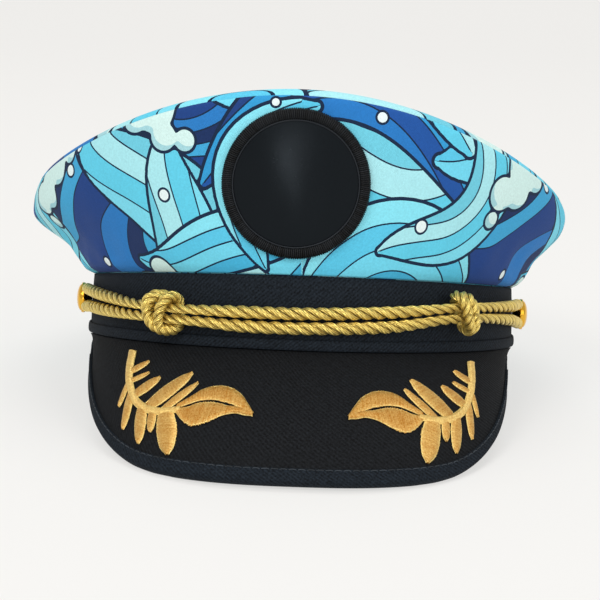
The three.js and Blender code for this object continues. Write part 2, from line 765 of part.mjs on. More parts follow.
// Stations of the closed cord: the upper run, round the right shank, the lower run, and back
function cordStations() {
  const run = spaced(-BUTTON_AZIMUTH, BUTTON_AZIMUTH, CORD_STATIONS);
  const turns = [45, 0, -45];
  const straight = (azimuth, side) => ({ azimuth, swing: 90 * side });
  return [
    ...run.map((azimuth) => straight(azimuth, 1)),
    ...turns.map((swing) => ({ azimuth: BUTTON_AZIMUTH, swing })),
    ...run.map((azimuth) => straight(-azimuth, -1)),
    ...turns.map((swing) => ({ azimuth: -BUTTON_AZIMUTH, swing: 180 + swing })),
  ];
}

function cordCentre({ azimuth, swing }) {
  const reach = halfSpread(azimuth);
  const z = routeMiddle(azimuth) + reach * Math.sin(rad(swing));
  return onBand(azimuth, z, cordStandOff(azimuth)).addScaledVector(
    sideways(azimuth),
    reach * Math.cos(rad(swing)),
  );
}

function tubeRound(centres, radii, normals) {
  return loft(
    centres.map((centre, i) => {
      const ahead = centres[(i + 1) % centres.length];
      const behind = centres[(i + centres.length - 1) % centres.length];
      const tangent = ahead.clone().sub(behind).normalize();
      const across = tangent.clone().cross(normals[i]).normalize();
      return ringOf(centre, radii[i], across.clone().cross(tangent), across);
    }),
    true,
  );
}

const stations = cordStations();
const cordGeometry = tubeRound(
  stations.map(cordCentre),
  stations.map(({ azimuth }) => cordRadius(azimuth)),
  stations.map(({ azimuth }) => outward(azimuth)),
);

// A slide knot: a turn of cord round both runs, its front ahead of its back
function knotGeometry(azimuth) {
  const knotRadius = KNOT_DIAMETER / 2;
  const halfAcross = cordRadius(azimuth) + KNOT_EASE + knotRadius;
  const halfUp = halfSpread(azimuth) + halfAcross;
  const middle = onBand(azimuth, routeMiddle(azimuth), cordStandOff(azimuth));
  const [out, aside, up] = [outward(azimuth), sideways(azimuth), point(0, 0, 1)];
  const squared = (value) => sign(value) * Math.abs(value) ** KNOT_SQUARENESS;
  const turns = steps(KNOT_STATIONS).map((i) => (2 * Math.PI * i) / KNOT_STATIONS);
  const centres = turns.map((turn) =>
    middle
      .clone()
      .addScaledVector(out, halfAcross * squared(Math.cos(turn)))
      .addScaledVector(up, halfUp * squared(Math.sin(turn)))
      .addScaledVector(aside, -KNOT_SKEW * Math.cos(turn) - KNOT_LEAN * Math.sin(turn)),
  );
  const normals = turns.map((turn) =>
    out.clone().multiplyScalar(Math.cos(turn)).addScaledVector(up, Math.sin(turn)),
  );
  return tubeRound(
    centres,
    turns.map(() => knotRadius),
    normals,
  );
}

// A button with its shank, along +Y from the band: [radius, height]
const buttonSeat = 2 * GAP + CORD_DIAMETER * CORD_ROUTE[0].thickness;
const BUTTON_PROFILE = [
  [0, GAP],
  [SHANK_RADIUS, GAP],
  [SHANK_RADIUS, buttonSeat],
  [BUTTON_RADIUS * 0.94, buttonSeat],
  [BUTTON_RADIUS, buttonSeat + BUTTON_RISE * 0.1],
  [BUTTON_RADIUS, buttonSeat + BUTTON_RISE * 0.24],
  [BUTTON_RADIUS * 0.9, buttonSeat + BUTTON_RISE * 0.32],
  [BUTTON_RADIUS * 0.86, buttonSeat + BUTTON_RISE * 0.46],
  [BUTTON_RADIUS * 0.68, buttonSeat + BUTTON_RISE * 0.74],
  [BUTTON_RADIUS * 0.4, buttonSeat + BUTTON_RISE * 0.93],
  [0, buttonSeat + BUTTON_RISE],
];

function button(name, azimuth) {
  const profile = BUTTON_PROFILE.map(([r, h]) => new THREE.Vector2(r, h));
  const mesh = piece(name, new THREE.LatheGeometry(profile, BUTTON_COLUMNS), giltMetal);
  mesh.position.copy(onBand(azimuth, routeMiddle(azimuth)));
  mesh.quaternion.setFromUnitVectors(point(0, 1, 0), outward(azimuth));
  return mesh;
}

// Assembly

const hat = new THREE.Group();
hat.add(
  piece("crown_top", crownTopGeometry, printedCloth),
  piece("crown_side", crownSideGeometry, printedCloth),
  piece("band", pressed(bandGeometry), blackTwill),
  piece("band_welt", pressed(weltGeometry), blackTwill),
  piece("peak", peakGeometry, peakCloth),
  piece("peak_binding", pressed(bindingGeometry), blackTwill),
  piece("patch", patchGeometry, patchLeather),
  piece("patch_border", borderGeometry, borderThread),
  piece("cord", cordGeometry, goldCord),
  ...KNOTS.map(({ name, azimuth }) => piece(name, knotGeometry(azimuth), goldCord)),
  ...SPRAYS.map((row) => piece(row.name, spray(row), goldThread)),
  button("left_button", -BUTTON_AZIMUTH),
  button("right_button", BUTTON_AZIMUTH),
);
hat.rotation.x = -tilt;

const resting = new THREE.Group();
resting.add(hat);
resting.updateMatrixWorld(true);
const box = new THREE.Box3().setFromObject(resting, true);
resting.position.set(-(box.min.x + box.max.x) / 2, -(box.min.y + box.max.y) / 2, -box.min.z);

export default resting;
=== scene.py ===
import math

import bmesh
import bpy
import numpy as np
from mathutils import Matrix, Vector


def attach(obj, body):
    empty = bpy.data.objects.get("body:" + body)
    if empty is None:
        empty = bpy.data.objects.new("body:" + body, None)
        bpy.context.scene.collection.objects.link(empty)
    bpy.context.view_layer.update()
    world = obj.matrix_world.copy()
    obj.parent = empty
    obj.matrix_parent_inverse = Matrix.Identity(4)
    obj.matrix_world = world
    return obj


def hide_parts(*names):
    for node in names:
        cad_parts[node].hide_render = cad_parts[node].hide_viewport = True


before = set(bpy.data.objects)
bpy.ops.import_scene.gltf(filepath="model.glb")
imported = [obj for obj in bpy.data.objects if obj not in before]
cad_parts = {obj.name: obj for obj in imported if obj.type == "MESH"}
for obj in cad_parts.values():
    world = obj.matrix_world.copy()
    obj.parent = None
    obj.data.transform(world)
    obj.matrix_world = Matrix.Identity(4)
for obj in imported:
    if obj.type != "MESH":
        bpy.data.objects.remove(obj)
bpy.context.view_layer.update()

# ---------------------------------------------------------------- sizes, in millimetres

ROUND = 2 * math.pi
UP = np.array([0, 0, 1])
TILT = math.radians(11.03226)
RESTING_OFFSET = np.array([2.46486, 11.72357, 19.21396])
GAP = 0.3

BAND_HALF_WIDTH = 89
BAND_HALF_LENGTH = 102
BAND_FRONT_HEIGHT = 28.3
BAND_BACK_HEIGHT = 21
BAND_DIP = 1.6  # how fast its top edge falls away from the front
BAND_TAPER = 0.8  # how much smaller it is at its top edge
BAND_WALL = 2.5
BAND_BULGE = 0.25
WELT_HEIGHT = 4.2
WELT_PROUD = 0.9

CROWN_HALF_WIDTH = 111.5
CROWN_FRONT_REACH = 114
CROWN_BACK_REACH = 120
CROWN_FRONT_HEIGHT = 95.7
CROWN_SIDE_HEIGHT = 56.5
CROWN_BACK_HEIGHT = 54
CROWN_BROW = 6  # flattens the seam's front
CROWN_LEAN = -2  # to the left
CROWN_CANT = 1.2  # lower on the right
CROWN_WALL = 2
ROLL_WIDTH = 12
ROLL_HEIGHT = 4.2
ROLL_FADE = 0.6
TOP_PUFF = 5
TOP_DENT = 0.5
FOLD_DEPTH = 2.4
FOLD_FADE = 8  # the folds and creases fade out over an eighth of the height at either edge
FRONT_FADE = 1.5  # how fast the front's profile gives way to the sides'
SEAM_PULL = 0.9
SEAM_WIDTH = 1.1

PEAK_HALF_WIDTH = 83.7
PEAK_LEAN = -0.7  # to the left
PEAK_REACH = 145
PEAK_DROP = 44.3
PEAK_END_DROP = 5.5
PEAK_ROOT = 0.7  # how far off the band it starts
PEAK_THICKNESS = 2.6
PEAK_CROWNING = 2.6  # how far it bulges between root and rim
PEAK_SIDE_EDGE, PEAK_EDGE = 0.015, 0.02  # its direction is read this far inside its edges
PEAK_END_AZIMUTH = math.radians(77)
PEAK_END = 0.995  # share of the way down at which the edge starts to round
RIM_SQUARENESS = 2.7
BINDING_WIDTH = 5
BINDING_CLOTH = 0.8
TUCK_HEIGHT = 4
TUCK_WALL = 1.4

PATCH_RADIUS = 27.8
PATCH_HEIGHT = 63
PATCH_OFFSET = -3.8
PATCH_THICKNESS = 1.4
PATCH_DOME = 0.9
PATCH_BORDER_WIDTH = 4.2
PATCH_BORDER_THICKNESS = 2.4
BORDER_STITCHES = 216
BORDER_THREAD_RADIUS = 0.36

CORD_DIAMETER = 5
KNOT_DIAMETER = 4.3
KNOT_SKEW = 4.5
KNOT_LEAN = 2.3
KNOT_EASE = 0.5
KNOT_SQUARENESS = 0.8
TWIST_PITCH = 15.2
KNOT_TWIST_PITCH = 9.4
PLIES = 3
PLY_RADIUS = 0.47  # shares of the strand's radius
PLY_SWING = 0.53
CORE_RADIUS = 0.42
BUTTON_AZIMUTH = math.radians(84)
BUTTON_RADIUS = 6.4
BUTTON_RISE = 3.5
BUTTON_RIM_HALF_HEIGHT = 0.8
BUTTON_RIM_HALF_WIDTH = 0.45
BUTTON_DOME_FOOT = 1.45
BUTTON_DOME_SHARE = 0.88
SHANK_RADIUS = 0.9
CORD_UNDER_BUTTON = 0.52  # share of the cord's diameter: the button presses into it
LEAF_WIDTH = 8.3
VEIN_WIDTH = 1.25
VEIN_END = 5.3  # where the slit along the vein closes, in rows of FRONT_LEAF
SATIN_PITCH = 0.36
SATIN_THREAD_RADIUS = 0.22
RIM_THREAD_RADIUS = 0.24
STITCH_LENGTH = 2.6
STITCH_GAP = 0.7
STITCH_THREAD_RADIUS = 0.22
STITCH_INSET = 0.014  # share of the way down the peak, from the binding's edge

# ---------------------------------------------------------------- tables (lengths are shares)

# up, then how far out the crown has come at the sides and at the front
CROWN_PROFILE = [
    (0, 0, 0),
    (0.05, 0.14, 0.14),
    (0.18, 0.28, 0.36),
    (0.35, 0.44, 0.55),
    (0.52, 0.69, 0.71),
    (0.69, 0.92, 0.85),
    (0.85, 1.01, 0.95),
    (1, 1, 1),
]
# inset from the seam in widths of the roll, rise
TOP_PROFILE = [(0, 0), (0.12, 0.46), (0.35, 0.82), (1, 1)]
# azimuth, spread, up, reach, depth
CROWN_FOLDS = [
    (-104, 9, 0.3, 0.22, 0.8),
    (-88, 22, 0.62, 0.2, -1.4),
    (-72, 8, 0.28, 0.17, 0.5),
    (-50, 8, 0.2, 0.16, 0.5),
    (64, 8, 0.26, 0.18, 0.6),
    (96, 9, 0.34, 0.2, 0.9),
    (140, 12, 0.4, 0.25, 0.7),
    (222, 12, 0.4, 0.25, 0.7),
]
# depth, number round the crown, slant, sway and bends of their lines
CREASES = [(0.3, 31, 7, 1.2, 5), (0.22, 47, -9, 2, 3)]
BROAD_WAVES = (0.25, 9, 5, 1.5, 4)
# forward, drop
RIM_PROFILE = [(0, 0), (0.24, 0.21), (0.58, 0.66), (0.82, 0.925), (1, 1)]
# azimuth, rise, spread, thickness, lift
CORD_ROUTE = [
    (-84, 0.49, 1.58, 0.74, 0),
    (-80, 0.5, 1.48, 0.94, 0),
    (-72, 0.51, 1.3, 0.96, 0),
    (-56, 0.48, 1.1, 0.98, 0.3),
    (-41, 0.44, 0.86, 0.78, 0.92),
    (-33.5, 0.43, 0.86, 0.78, 0.92),
    (-26, 0.42, 0.86, 0.78, 0.92),
    (-15, 0.4, 1.07, 0.98, 0.2),
    (0, 0.4, 1.11, 1, 0),
    (22, 0.45, 1.1, 0.98, 0.1),
    (34, 0.53, 0.86, 0.78, 0.92),
    (41, 0.55, 0.86, 0.78, 0.92),
    (48, 0.55, 0.86, 0.78, 0.92),
    (66, 0.52, 1.14, 0.96, 0.3),
    (73, 0.5, 1.32, 0.96, 0),
    (80, 0.48, 1.54, 0.94, 0),
    (84, 0.465, 1.66, 0.74, 0),
]
# aside, down, width
STEM = [
    (0.59, 0.13, 0.5),
    (0.574, 0.31, 0.5),
    (0.548, 0.45, 0.48),
    (0.49, 0.575, 0.42),
    (0.4, 0.605, 0.36),
    (0.31, 0.56, 0.28),
]
# aside, down, aside and down of the tip, width
LEAFLETS = [
    (0.57, 0.35, 0.496, 0.2, 0.34),
    (0.552, 0.435, 0.478, 0.305, 0.23),
    (0.51, 0.53, 0.426, 0.325, 0.52),
    (0.435, 0.585, 0.314, 0.255, 0.72),
    (0.375, 0.59, 0.282, 0.335, 0.38),
    (0.557, 0.45, 0.566, 0.68, 0.3),
    (0.528, 0.52, 0.516, 0.825, 0.55),
    (0.46, 0.59, 0.43, 0.87, 0.7),
    (0.41, 0.6, 0.396, 0.765, 0.46),
    (0.362, 0.58, 0.308, 0.895, 1),
]
# along a leaflet, width
LEAFLET_OUTLINE = [(0, 0.72), (0.4, 1), (0.82, 0.72), (1, 0.14)]
# along the leaf, aside, upper edge, vein, lower edge
FRONT_LEAF = [
    (0, 0.325, 0.53, 0.555, 0.58),
    (1, 0.29, 0.46, 0.525, 0.64),
    (2, 0.255, 0.385, 0.487, 0.664),
    (3, 0.214, 0.35, 0.471, 0.63),
    (4, 0.175, 0.356, 0.483, 0.573),
    (5, 0.14, 0.4, 0.5, 0.548),
    (6, 0.115, 0.465, 0.525, 0.558),
    (7, 0.092, 0.54, 0.55, 0.56),
]
# name, side, shift
SPRAYS = [("left_spray", -1, 0), ("right_spray", 1, 0.018)]
# name, azimuth, turns: each as shares of the knot's ease, diameter, skew, lean, and of its
# skew again for the shift along the cord
KNOTS = [
    (
        "left_knot",
        -33.5,
        [(1, 1, 1, 1, 0), (0.3, 1, 0.25, -0.9, 0.55), (0.1, 0.94, 0.9, 0.2, -0.12)],
    ),
    ("right_knot", 41, [(1, 1, 0.5, 1.5, -0.2), (0.3, 1, 0.1, 0.9, 0.34)]),
]

# up the tuck inside the band, how deep its wall stands there
TUCK = [(-GAP - TUCK_WALL, TUCK_WALL), (TUCK_HEIGHT, TUCK_WALL), (TUCK_HEIGHT, 0), (-GAP, 0)]

# The cloth's print repeats in a tile of this width and height, shifted on the side and the top
TILE = np.array([236.7, 152.0], np.float32)
PRINT_SHIFT = np.array([60.0, 30.0])
TOP_PRINT_SHIFT = np.array([40.0, 100.0])
# Flowing ribbons, undermost first: x, y, heading, bend, sway, length, width, family of colours
RIBBONS = [
    [
        (0, 22, 4, 56, 26, 170, 50, 0),
        (124, 20, 150, -64, 20, 130, 44, 1),
        (36, 92, -16, 52, -30, 160, 48, 1),
        (150, 124, 16, -60, 34, 150, 46, 0),
        (200, 60, 96, -70, 24, 110, 30, 1),
        (186, 96, -62, 40, 20, 120, 40, 1),
    ],
    [
        (56, 0, 58, -104, 18, 126, 38, 0),
        (160, 8, 14, 66, -34, 136, 38, 1),
        (8, 64, 44, -92, 18, 158, 32, 2),
        (112, 78, -4, 62, 26, 130, 40, 0),
        (22, 126, 4, -52, 30, 136, 38, 1),
        (196, 110, 40, -90, 16, 112, 34, 0),
    ],
    [
        (92, 40, 26, 60, -30, 100, 26, 1),
        (202, 38, -30, 88, 22, 100, 25, 0),
        (34, 30, 112, -96, 16, 88, 23, 0),
        (146, 138, -10, -48, 34, 104, 26, 1),
    ],
]
# Puffs of cloud: x, y, heading, reach, lobes, size
CLOUDS = [
    (26, 58, 26, 38, 7, 9.6),
    (88, 16, -20, 34, 6, 8.6),
    (146, 60, 38, 40, 7, 9.4),
    (208, 98, -30, 36, 6, 9.0),
    (62, 112, 12, 40, 7, 8.8),
    (136, 130, -36, 30, 5, 8.2),
    (196, 14, 28, 30, 5, 8.2),
]
# Bubbles: x, y, radius
BUBBLES = [
    (58, 46, 2.6),
    (65, 52, 1.7),
    (120, 8, 2.4),
    (112, 52, 2.8),
    (180, 76, 2.6),
    (186, 84, 1.8),
    (228, 62, 2.6),
    (90, 92, 2.4),
    (40, 96, 1.9),
    (160, 104, 2.6),
    (120, 116, 1.8),
    (14, 104, 2.7),
    (232, 124, 2.2),
    (176, 36, 2.4),
    (10, 22, 2.2),
    (80, 70, 2.0),
]
RIBBON_STEP = 3.0
RIBBON_TIP = 0.4  # least half width
RIBBON_END, RIBBON_FULLNESS = 0.02, 0.7  # share cut off each end, and power of the taper
RIBBON_SIDE = 0.999  # most across a ribbon, short of the next family's numbers
LOBE_BLEND = 1.6
LOBE_SIZE, LOBE_SWELL, LOBE_ODD, LOBE_SIDE = 0.52, 0.5, 0.8, 0.3  # as shares of a puff's size
PUFF_RISE = 5.0  # how far the middle of a puff stands up
PUFF_SHADE = np.array([1.6, 2.4])  # how far the light part of a puff lies from its middle
FLOW_BAND = 8.0  # width of the bands of the ground
FLOW_WAVES, FLOW_BENDS = (13, 17, 6), (1.3, 0.9)
FLOW_STEEP = 0.15  # least
FAR_AWAY = 99.0

# The white sweep, in metres
SWEEP_SIDE = 3.2
SWEEP_FRONT = -2.6
SWEEP_BACK = 1.2
SWEEP_BEND = 0.8
SWEEP_TOP = 3.2
SWEEP_DROP = 0.0002
# name, place and aim in metres, width, power
LAMPS = [
    ("key", (-0.7, -1.3, 1.3), (0, 0, 0.06), 0.9, 13),
    ("fill", (1.0, -1.2, 0.7), (0, 0, 0.06), 1.0, 6),
    ("top", (0.1, 0.3, 1.5), (0, 0, 0.06), 1.0, 6),
    ("front", (-0.12, -1.48, 0.14), (0, 0, 0.1), 0.25, 1.6),
]
# The camera's place and the way it looks, in the hat's own frame
EYE = np.array([0, -900, 48.5])
VIEW_AHEAD = np.array([-2.3, 2113, -77.5])
VIEW_ROLL = 2
LENS = 126.78
SENSOR_WIDTH = 36

# ---------------------------------------------------------------- shapes of the hat


def unit(v):
    return v / np.maximum(np.linalg.norm(v, axis=-1, keepdims=True), 1e-12)


def vec(x, y, z):
    return np.stack(np.broadcast_arrays(x, y, z), -1).astype(float)


def mix(a, b, t):
    return a + (b - a) * t


def column(values):
    return np.asarray(values, float)[..., None]


def along(table, at):
    """The columns after the first, on a smooth curve through the table's rows."""
    table = np.asarray(table, float)
    x, y = table[:, 0], table[:, 1:]
    last = len(x) - 1
    at = np.clip(at, x[0], x[-1])
    i = np.clip(np.searchsorted(x, at) - 1, 0, last - 1)
    rows = np.arange(last + 1)
    before, after = np.maximum(rows - 1, 0), np.minimum(rows + 1, last)
    slope = (y[after] - y[before]) / column(x[after] - x[before])
    span = column(x[i + 1] - x[i])
    t = column(at - x[i]) / span
    return (
        (1 + 2 * t) * (1 - t) ** 2 * y[i]
        + t * (1 - t) ** 2 * span * slope[i]
        + t * t * (3 - 2 * t) * y[i + 1]
        + t * t * (t - 1) * span * slope[i + 1]
    )


def run_along(points):
    """How far along a line each of its points lies."""
    hop = np.linalg.norm(np.diff(points, axis=0), axis=-1)
    return np.concatenate([[0], np.cumsum(hop)])


def read_off(at, run, rows):
    """What the rows of a line say at these distances along it."""
    return np.stack([np.interp(at, run, values) for values in rows.T], -1)


def outward(a):
    """Straight out of the band at azimuth a."""
    return unit(vec(np.sin(a) / BAND_HALF_WIDTH, -np.cos(a) / BAND_HALF_LENGTH, 0))


def sideways(a):
    """Level along the band, towards the right at the front."""
    return np.cross(UP, outward(a))


def band_height(a):
    return mix(BAND_BACK_HEIGHT, BAND_FRONT_HEIGHT, ((1 + np.cos(a)) / 2) ** BAND_DIP)


def on_band(a, z, off=0.0):
    """On the band's outside at azimuth a and height z, or so far off it."""
    lean = BAND_TAPER * z / BAND_FRONT_HEIGHT
    wide, long = BAND_HALF_WIDTH - lean, BAND_HALF_LENGTH - lean
    return vec(wide * np.sin(a), -long * np.cos(a), z) + outward(a) * column(off)


def seam_height(a, rho=1.0):
    """The height of the crown's top seam, and under rho 1 of a smooth sheet inside it."""
    front, side, back = CROWN_FRONT_HEIGHT, CROWN_SIDE_HEIGHT, CROWN_BACK_HEIGHT
    mean = (front + back + 2 * side) / 4
    first = (front - back) / 2 - CROWN_BROW / 4
    second = (front + back - 2 * side) / 4
    return (
        mean
        + first * rho * np.cos(a)
        + second * rho**2 * np.cos(2 * a)
        + CROWN_BROW / 4 * rho**3 * np.cos(3 * a)
        - CROWN_CANT * rho * np.sin(a)
    )


def seam_plan(a, rho=1.0):
    reach = np.where(np.cos(a) > 0, CROWN_FRONT_REACH, CROWN_BACK_REACH)
    return rho * CROWN_HALF_WIDTH * np.sin(a) + CROWN_LEAN, -rho * reach * np.cos(a)


def fold_depth(a, up):
    depth = 0
    for azimuth, spread, height, reach, share in CROWN_FOLDS:
        turn = (np.degrees(a) - azimuth + 540) % 360 - 180
        depth = depth + FOLD_DEPTH * share * np.exp(
            -((turn / spread) ** 2) - ((up - height) / reach) ** 2
        )
    return depth


def slack(a, up):
    """Small creases of the soft cloth: long slanting ones low down, fading towards the seam."""

    def lines(depth, number, slant, sway, bends):
        return depth * np.sin(number * a + slant * up + sway * np.sin(bends * a))

    low = np.exp(-((up / 0.45) ** 2)) * np.clip(up * 10, 0, 1)
    side = 0.35 + 0.65 * np.sin(a) ** 2
    waves = lines(*BROAD_WAVES) * np.sin(np.pi * up)
    return sum(lines(*row) for row in CREASES) * low * side + waves


def on_crown(a, up):
    """On the crown's side, from its foot at up 0 to the top seam at 1."""
    foot = on_band(a, band_height(a))
    seam_x, seam_y = seam_plan(a)
    side, front = np.moveaxis(along(CROWN_PROFILE, up), -1, 0)
    out = mix(side, front, np.maximum(0, np.cos(a)) ** FRONT_FADE)
    rise = mix(foot[..., 2] + GAP, seam_height(a) - GAP / 2, up)
    place = vec(mix(foot[..., 0], seam_x, out), mix(foot[..., 1], seam_y, out), rise)
    ease = np.minimum(1, up * FOLD_FADE) * np.minimum(1, (1 - up) * FOLD_FADE)
    return place - outward(a) * column((fold_depth(a, up) - slack(a, up)) * ease)


def on_top(a, rho):
    """On the top panel, from its middle at rho 0 to the seam at 1."""
    x, y = seam_plan(a, rho)
    inset = (1 - rho) * CROWN_HALF_WIDTH / ROLL_WIDTH
    fade = 1 - ROLL_FADE * (rho * np.sin(a)) ** 2
    roll = ROLL_HEIGHT * fade * along(TOP_PROFILE, inset)[..., 0]
    dents = TOP_DENT * np.sin(x / 17 + 1.4 * np.sin(y / 29)) * np.sin(y / 23 + 0.8) * (1 - rho**8)
    return vec(x, y, seam_height(a, rho) + GAP / 2 + roll + TOP_PUFF * (1 - rho**2) + dents)


def facing(surface, u, v, du, dv):
    """The way a surface faces, from points a small step to either side."""
    across_u = surface(u + du, v) - surface(u - du, v)
    across_v = surface(u, v + dv) - surface(u, v - dv)
    return unit(np.cross(across_u, across_v))


def crown_facing(a, up):
    return facing(on_crown, a, np.clip(up, 0.01, 0.99), 0.009, 0.01)


def on_rim(turn):
    """The rim of the peak, from its left end at turn -1 to its right end at 1."""
    a = math.pi / 2 * turn
    root = 2 / RIM_SQUARENESS
    aside = np.sign(turn) * np.abs(np.sin(a)) ** root
    forward = np.abs(np.cos(a)) ** root
    end_y = on_band(PEAK_END_AZIMUTH, 0.0)[1]
    drop = mix(PEAK_END_DROP, PEAK_DROP, along(RIM_PROFILE, forward)[..., 0])
    return vec(aside * PEAK_HALF_WIDTH + PEAK_LEAN, end_y - forward * (PEAK_REACH + end_y), -drop)


def on_peak(turn, down):
    """On the peak, from its root at down 0 to the rim at 1."""
    root = on_band(PEAK_END_AZIMUTH * turn, 0.0, PEAK_ROOT)
    root[..., 2] = -GAP
    rim = on_rim(turn)
    crowning = PEAK_CROWNING * 4 * down * (1 - down) * (1 - turn**4)
    away = rim - root
    away[..., 2] = 0
    away = unit(away)
    away[..., 2] = 1
    return mix(root, rim, column(down)) + unit(away) * column(crowning)


def peak_facing(turn, down):
    """The way the peak faces, taken a little inside its edges, and always somewhat upwards."""
    turn, down = np.broadcast_arrays(turn, down)
    turn = np.clip(turn, PEAK_SIDE_EDGE - 1, 1 - PEAK_SIDE_EDGE)
    down = np.clip(down, PEAK_EDGE, 1 - PEAK_EDGE)
    direction = facing(on_peak, turn, down, 0.01, -0.02)
    direction[..., 2] = np.maximum(direction[..., 2], 0.1)
    return unit(direction)


def above_peak(turn, down, over):
    """As far over the peak as `over` says, square to it."""
    turn, down = np.broadcast_arrays(np.asarray(turn, float), np.asarray(down, float))
    return on_peak(turn, down) + peak_facing(turn, down) * column(over)


def binding_inner(turn):
    """How far down the peak the inner edge of its binding lies."""
    depth = np.linalg.norm(on_peak(turn, 1.0) - on_peak(turn, 0.0), axis=-1)
    return 1 - np.minimum(BINDING_WIDTH / depth, 0.5)


def on_crown_front(x, z, over):
    """The place over the crown's front that has this x and z, found in a dozen rounds."""
    x, z = np.broadcast_arrays(x, z)
    a = np.zeros(x.shape)
    up = np.full(x.shape, 0.5)
    for _ in range(12):
        here = on_crown(a, up)
        a = a + (x - here[..., 0]) / CROWN_HALF_WIDTH
        up = up + (z - here[..., 2]) / (CROWN_FRONT_HEIGHT - BAND_FRONT_HEIGHT)
        up = np.clip(up, 0, 1)
    return on_crown(a, up) + crown_facing(a, up) * column(over)


def on_patch(radius, angle, over):
    """This far from the middle of the patch, and over the crown's cloth."""
    aside = CROWN_FRONT_REACH * np.sin(radius * np.cos(angle) / CROWN_FRONT_REACH)
    return on_crown_front(PATCH_OFFSET + aside, PATCH_HEIGHT + radius * np.sin(angle), over)


def at_rest(points):
    """From the hat's own frame in mm to the frame's metres, as the hat rests."""
    x, y, z = np.moveaxis(np.asarray(points, float), -1, 0)
    cos, sin = math.cos(TILT), math.sin(TILT)
    return (np.stack([x, y * cos + z * sin, z * cos - y * sin], -1) + RESTING_OFFSET) / 1000


# ---------------------------------------------------------------- meshes


def link(name, data):
    piece = bpy.data.objects.new(name, data)
    bpy.context.scene.collection.objects.link(piece)
    return piece


def grid_mesh(name, sections, ring, cloth, fields=None, poles=False):
    """A closed solid whose sections (n, m, 3) follow each other. ring joins the last to the
    first; otherwise the ends are capped. cloth is (n + 1 or n, m + 1, 2), the map in mm, and
    fields are attributes of three numbers a point. With poles, the points that a turned form
    has in one place become one."""
    n, m = sections.shape[:2]
    spans = n if ring else n - 1
    i, j = np.meshgrid(np.arange(spans), np.arange(m), indexing="ij")
    i2, j2 = (i + 1) % n, (j + 1) % m
    quads = np.stack([i * m + j, i2 * m + j, i2 * m + j2, i * m + j2], -1).reshape(-1, 4)
    corners = np.stack([cloth[i, j], cloth[i + 1, j], cloth[i + 1, j + 1], cloth[i, j + 1]], 2)
    corners = corners.reshape(-1, 4, 2)
    place = at_rest(sections.reshape(-1, 3))
    place[:, 2] = np.maximum(place[:, 2], 0)  # nothing dips under the floor
    a, b, c, d = (place[quads[:, k]] for k in range(4))
    if np.einsum("ij,ij->", a, np.cross(b, c) + np.cross(c, d)) < 0:
        quads, corners = quads[:, ::-1], corners[:, ::-1]
    mesh = bpy.data.meshes.new(name)
    faces = quads.tolist()
    corners = corners.reshape(-1, 2)
    if not ring:
        flip = 1 if np.array_equal(quads[0], [0, m, m + 1, 1]) else -1
        for start, way in ((0, 1), ((n - 1) * m, -1)):
            cap = list(range(start, start + m))[:: way * flip]
            faces.append(cap)
            corners = np.concatenate([corners, cloth[start // m, [k - start for k in cap]]])
    mesh.from_pydata(place.tolist(), [], faces)
    mesh.uv_layers.new(name="cloth").data.foreach_set("uv", corners.ravel().astype(np.float32))
    for key, values in (fields or {}).items():
        layer = mesh.attributes.new(key, "FLOAT_VECTOR", "POINT")
        layer.data.foreach_set("vector", values.ravel().astype(np.float32))
    if poles:
        whole = bmesh.new()
        whole.from_mesh(mesh)
        bmesh.ops.remove_doubles(whole, verts=whole.verts, dist=1e-6)
        whole.to_mesh(mesh)
        whole.free()
    mesh.shade_smooth()
    return mesh


def cloth_map(sections, ring):
    """Lengths in mm along and across the sections, as the cloth lies flat."""
    step = np.linalg.norm(np.diff(sections, axis=0, append=sections[:1]), axis=-1).mean(1)
    run = np.concatenate([[0], np.cumsum(step)])[: len(sections) + (1 if ring else 0)]
    hop = np.linalg.norm(np.diff(sections, axis=1, append=sections[:, :1]), axis=-1).mean(0)
    across = np.concatenate([[0], np.cumsum(hop)])
    return np.stack(np.broadcast_arrays(run[:, None], across[None, :]), -1)


# ---------------------------------------------------------------- the print, as smooth fields


def wrapped(offset):
    """The short way round the tile."""
    return (offset + TILE / 2) % TILE - TILE / 2


def smooth_least(a, b, blend):
    """The lesser of two, with the corner between them rounded."""
    h = np.clip(0.5 + 0.5 * (b - a) / blend, 0, 1)
    return mix(b, a, h) - blend * h * (1 - h)


def ribbon_field(p, x, y, heading, bend, sway, length, width, family):
    """Distance outside a ribbon, the place across it plus twice its family, and half its width
    in the middle. It tapers to both ends, which cuts its stripes off one by one."""
    step = RIBBON_STEP
    run = np.arange(0.0, length, step)
    f = run / length
    turn = np.radians(heading + bend * f + sway * np.sin(2 * np.pi * f))
    hops = np.stack([np.cos(turn), np.sin(turn)], -1) * step
    spine = ([x, y] + np.cumsum(hops, 0)).astype(np.float32)
    taper = np.sin(np.pi * mix(RIBBON_END, 1 - RIBBON_END, f)) ** RIBBON_FULLNESS
    half = width / 2 * taper
    best = np.full(len(p), np.inf, np.float32)
    keep = np.zeros((len(p), 3), np.float32)
    for i in range(len(run) - 1):
        way = spine[i + 1] - spine[i]
        way_x, way_y = (way / np.hypot(*way)).tolist()
        q = wrapped(p - spine[i])
        ahead = way_x * q[:, 0] + way_y * q[:, 1]
        side = way_x * q[:, 1] - way_y * q[:, 0]
        far = np.hypot(side, ahead - np.clip(ahead, 0, step))
        near = np.flatnonzero(far < best)
        best[near] = far[near]
        share = np.clip(ahead[near] / step, 0, 1)
        keep[near, 0] = far[near] - np.maximum(mix(half[i], half[i + 1], share), RIBBON_TIP)
        across = np.sign(side[near]) * far[near] / (width / 2)
        keep[near, 1] = np.clip(across, -1, RIBBON_SIDE) + 2 * family
    keep[:, 2] = width / 2
    return keep


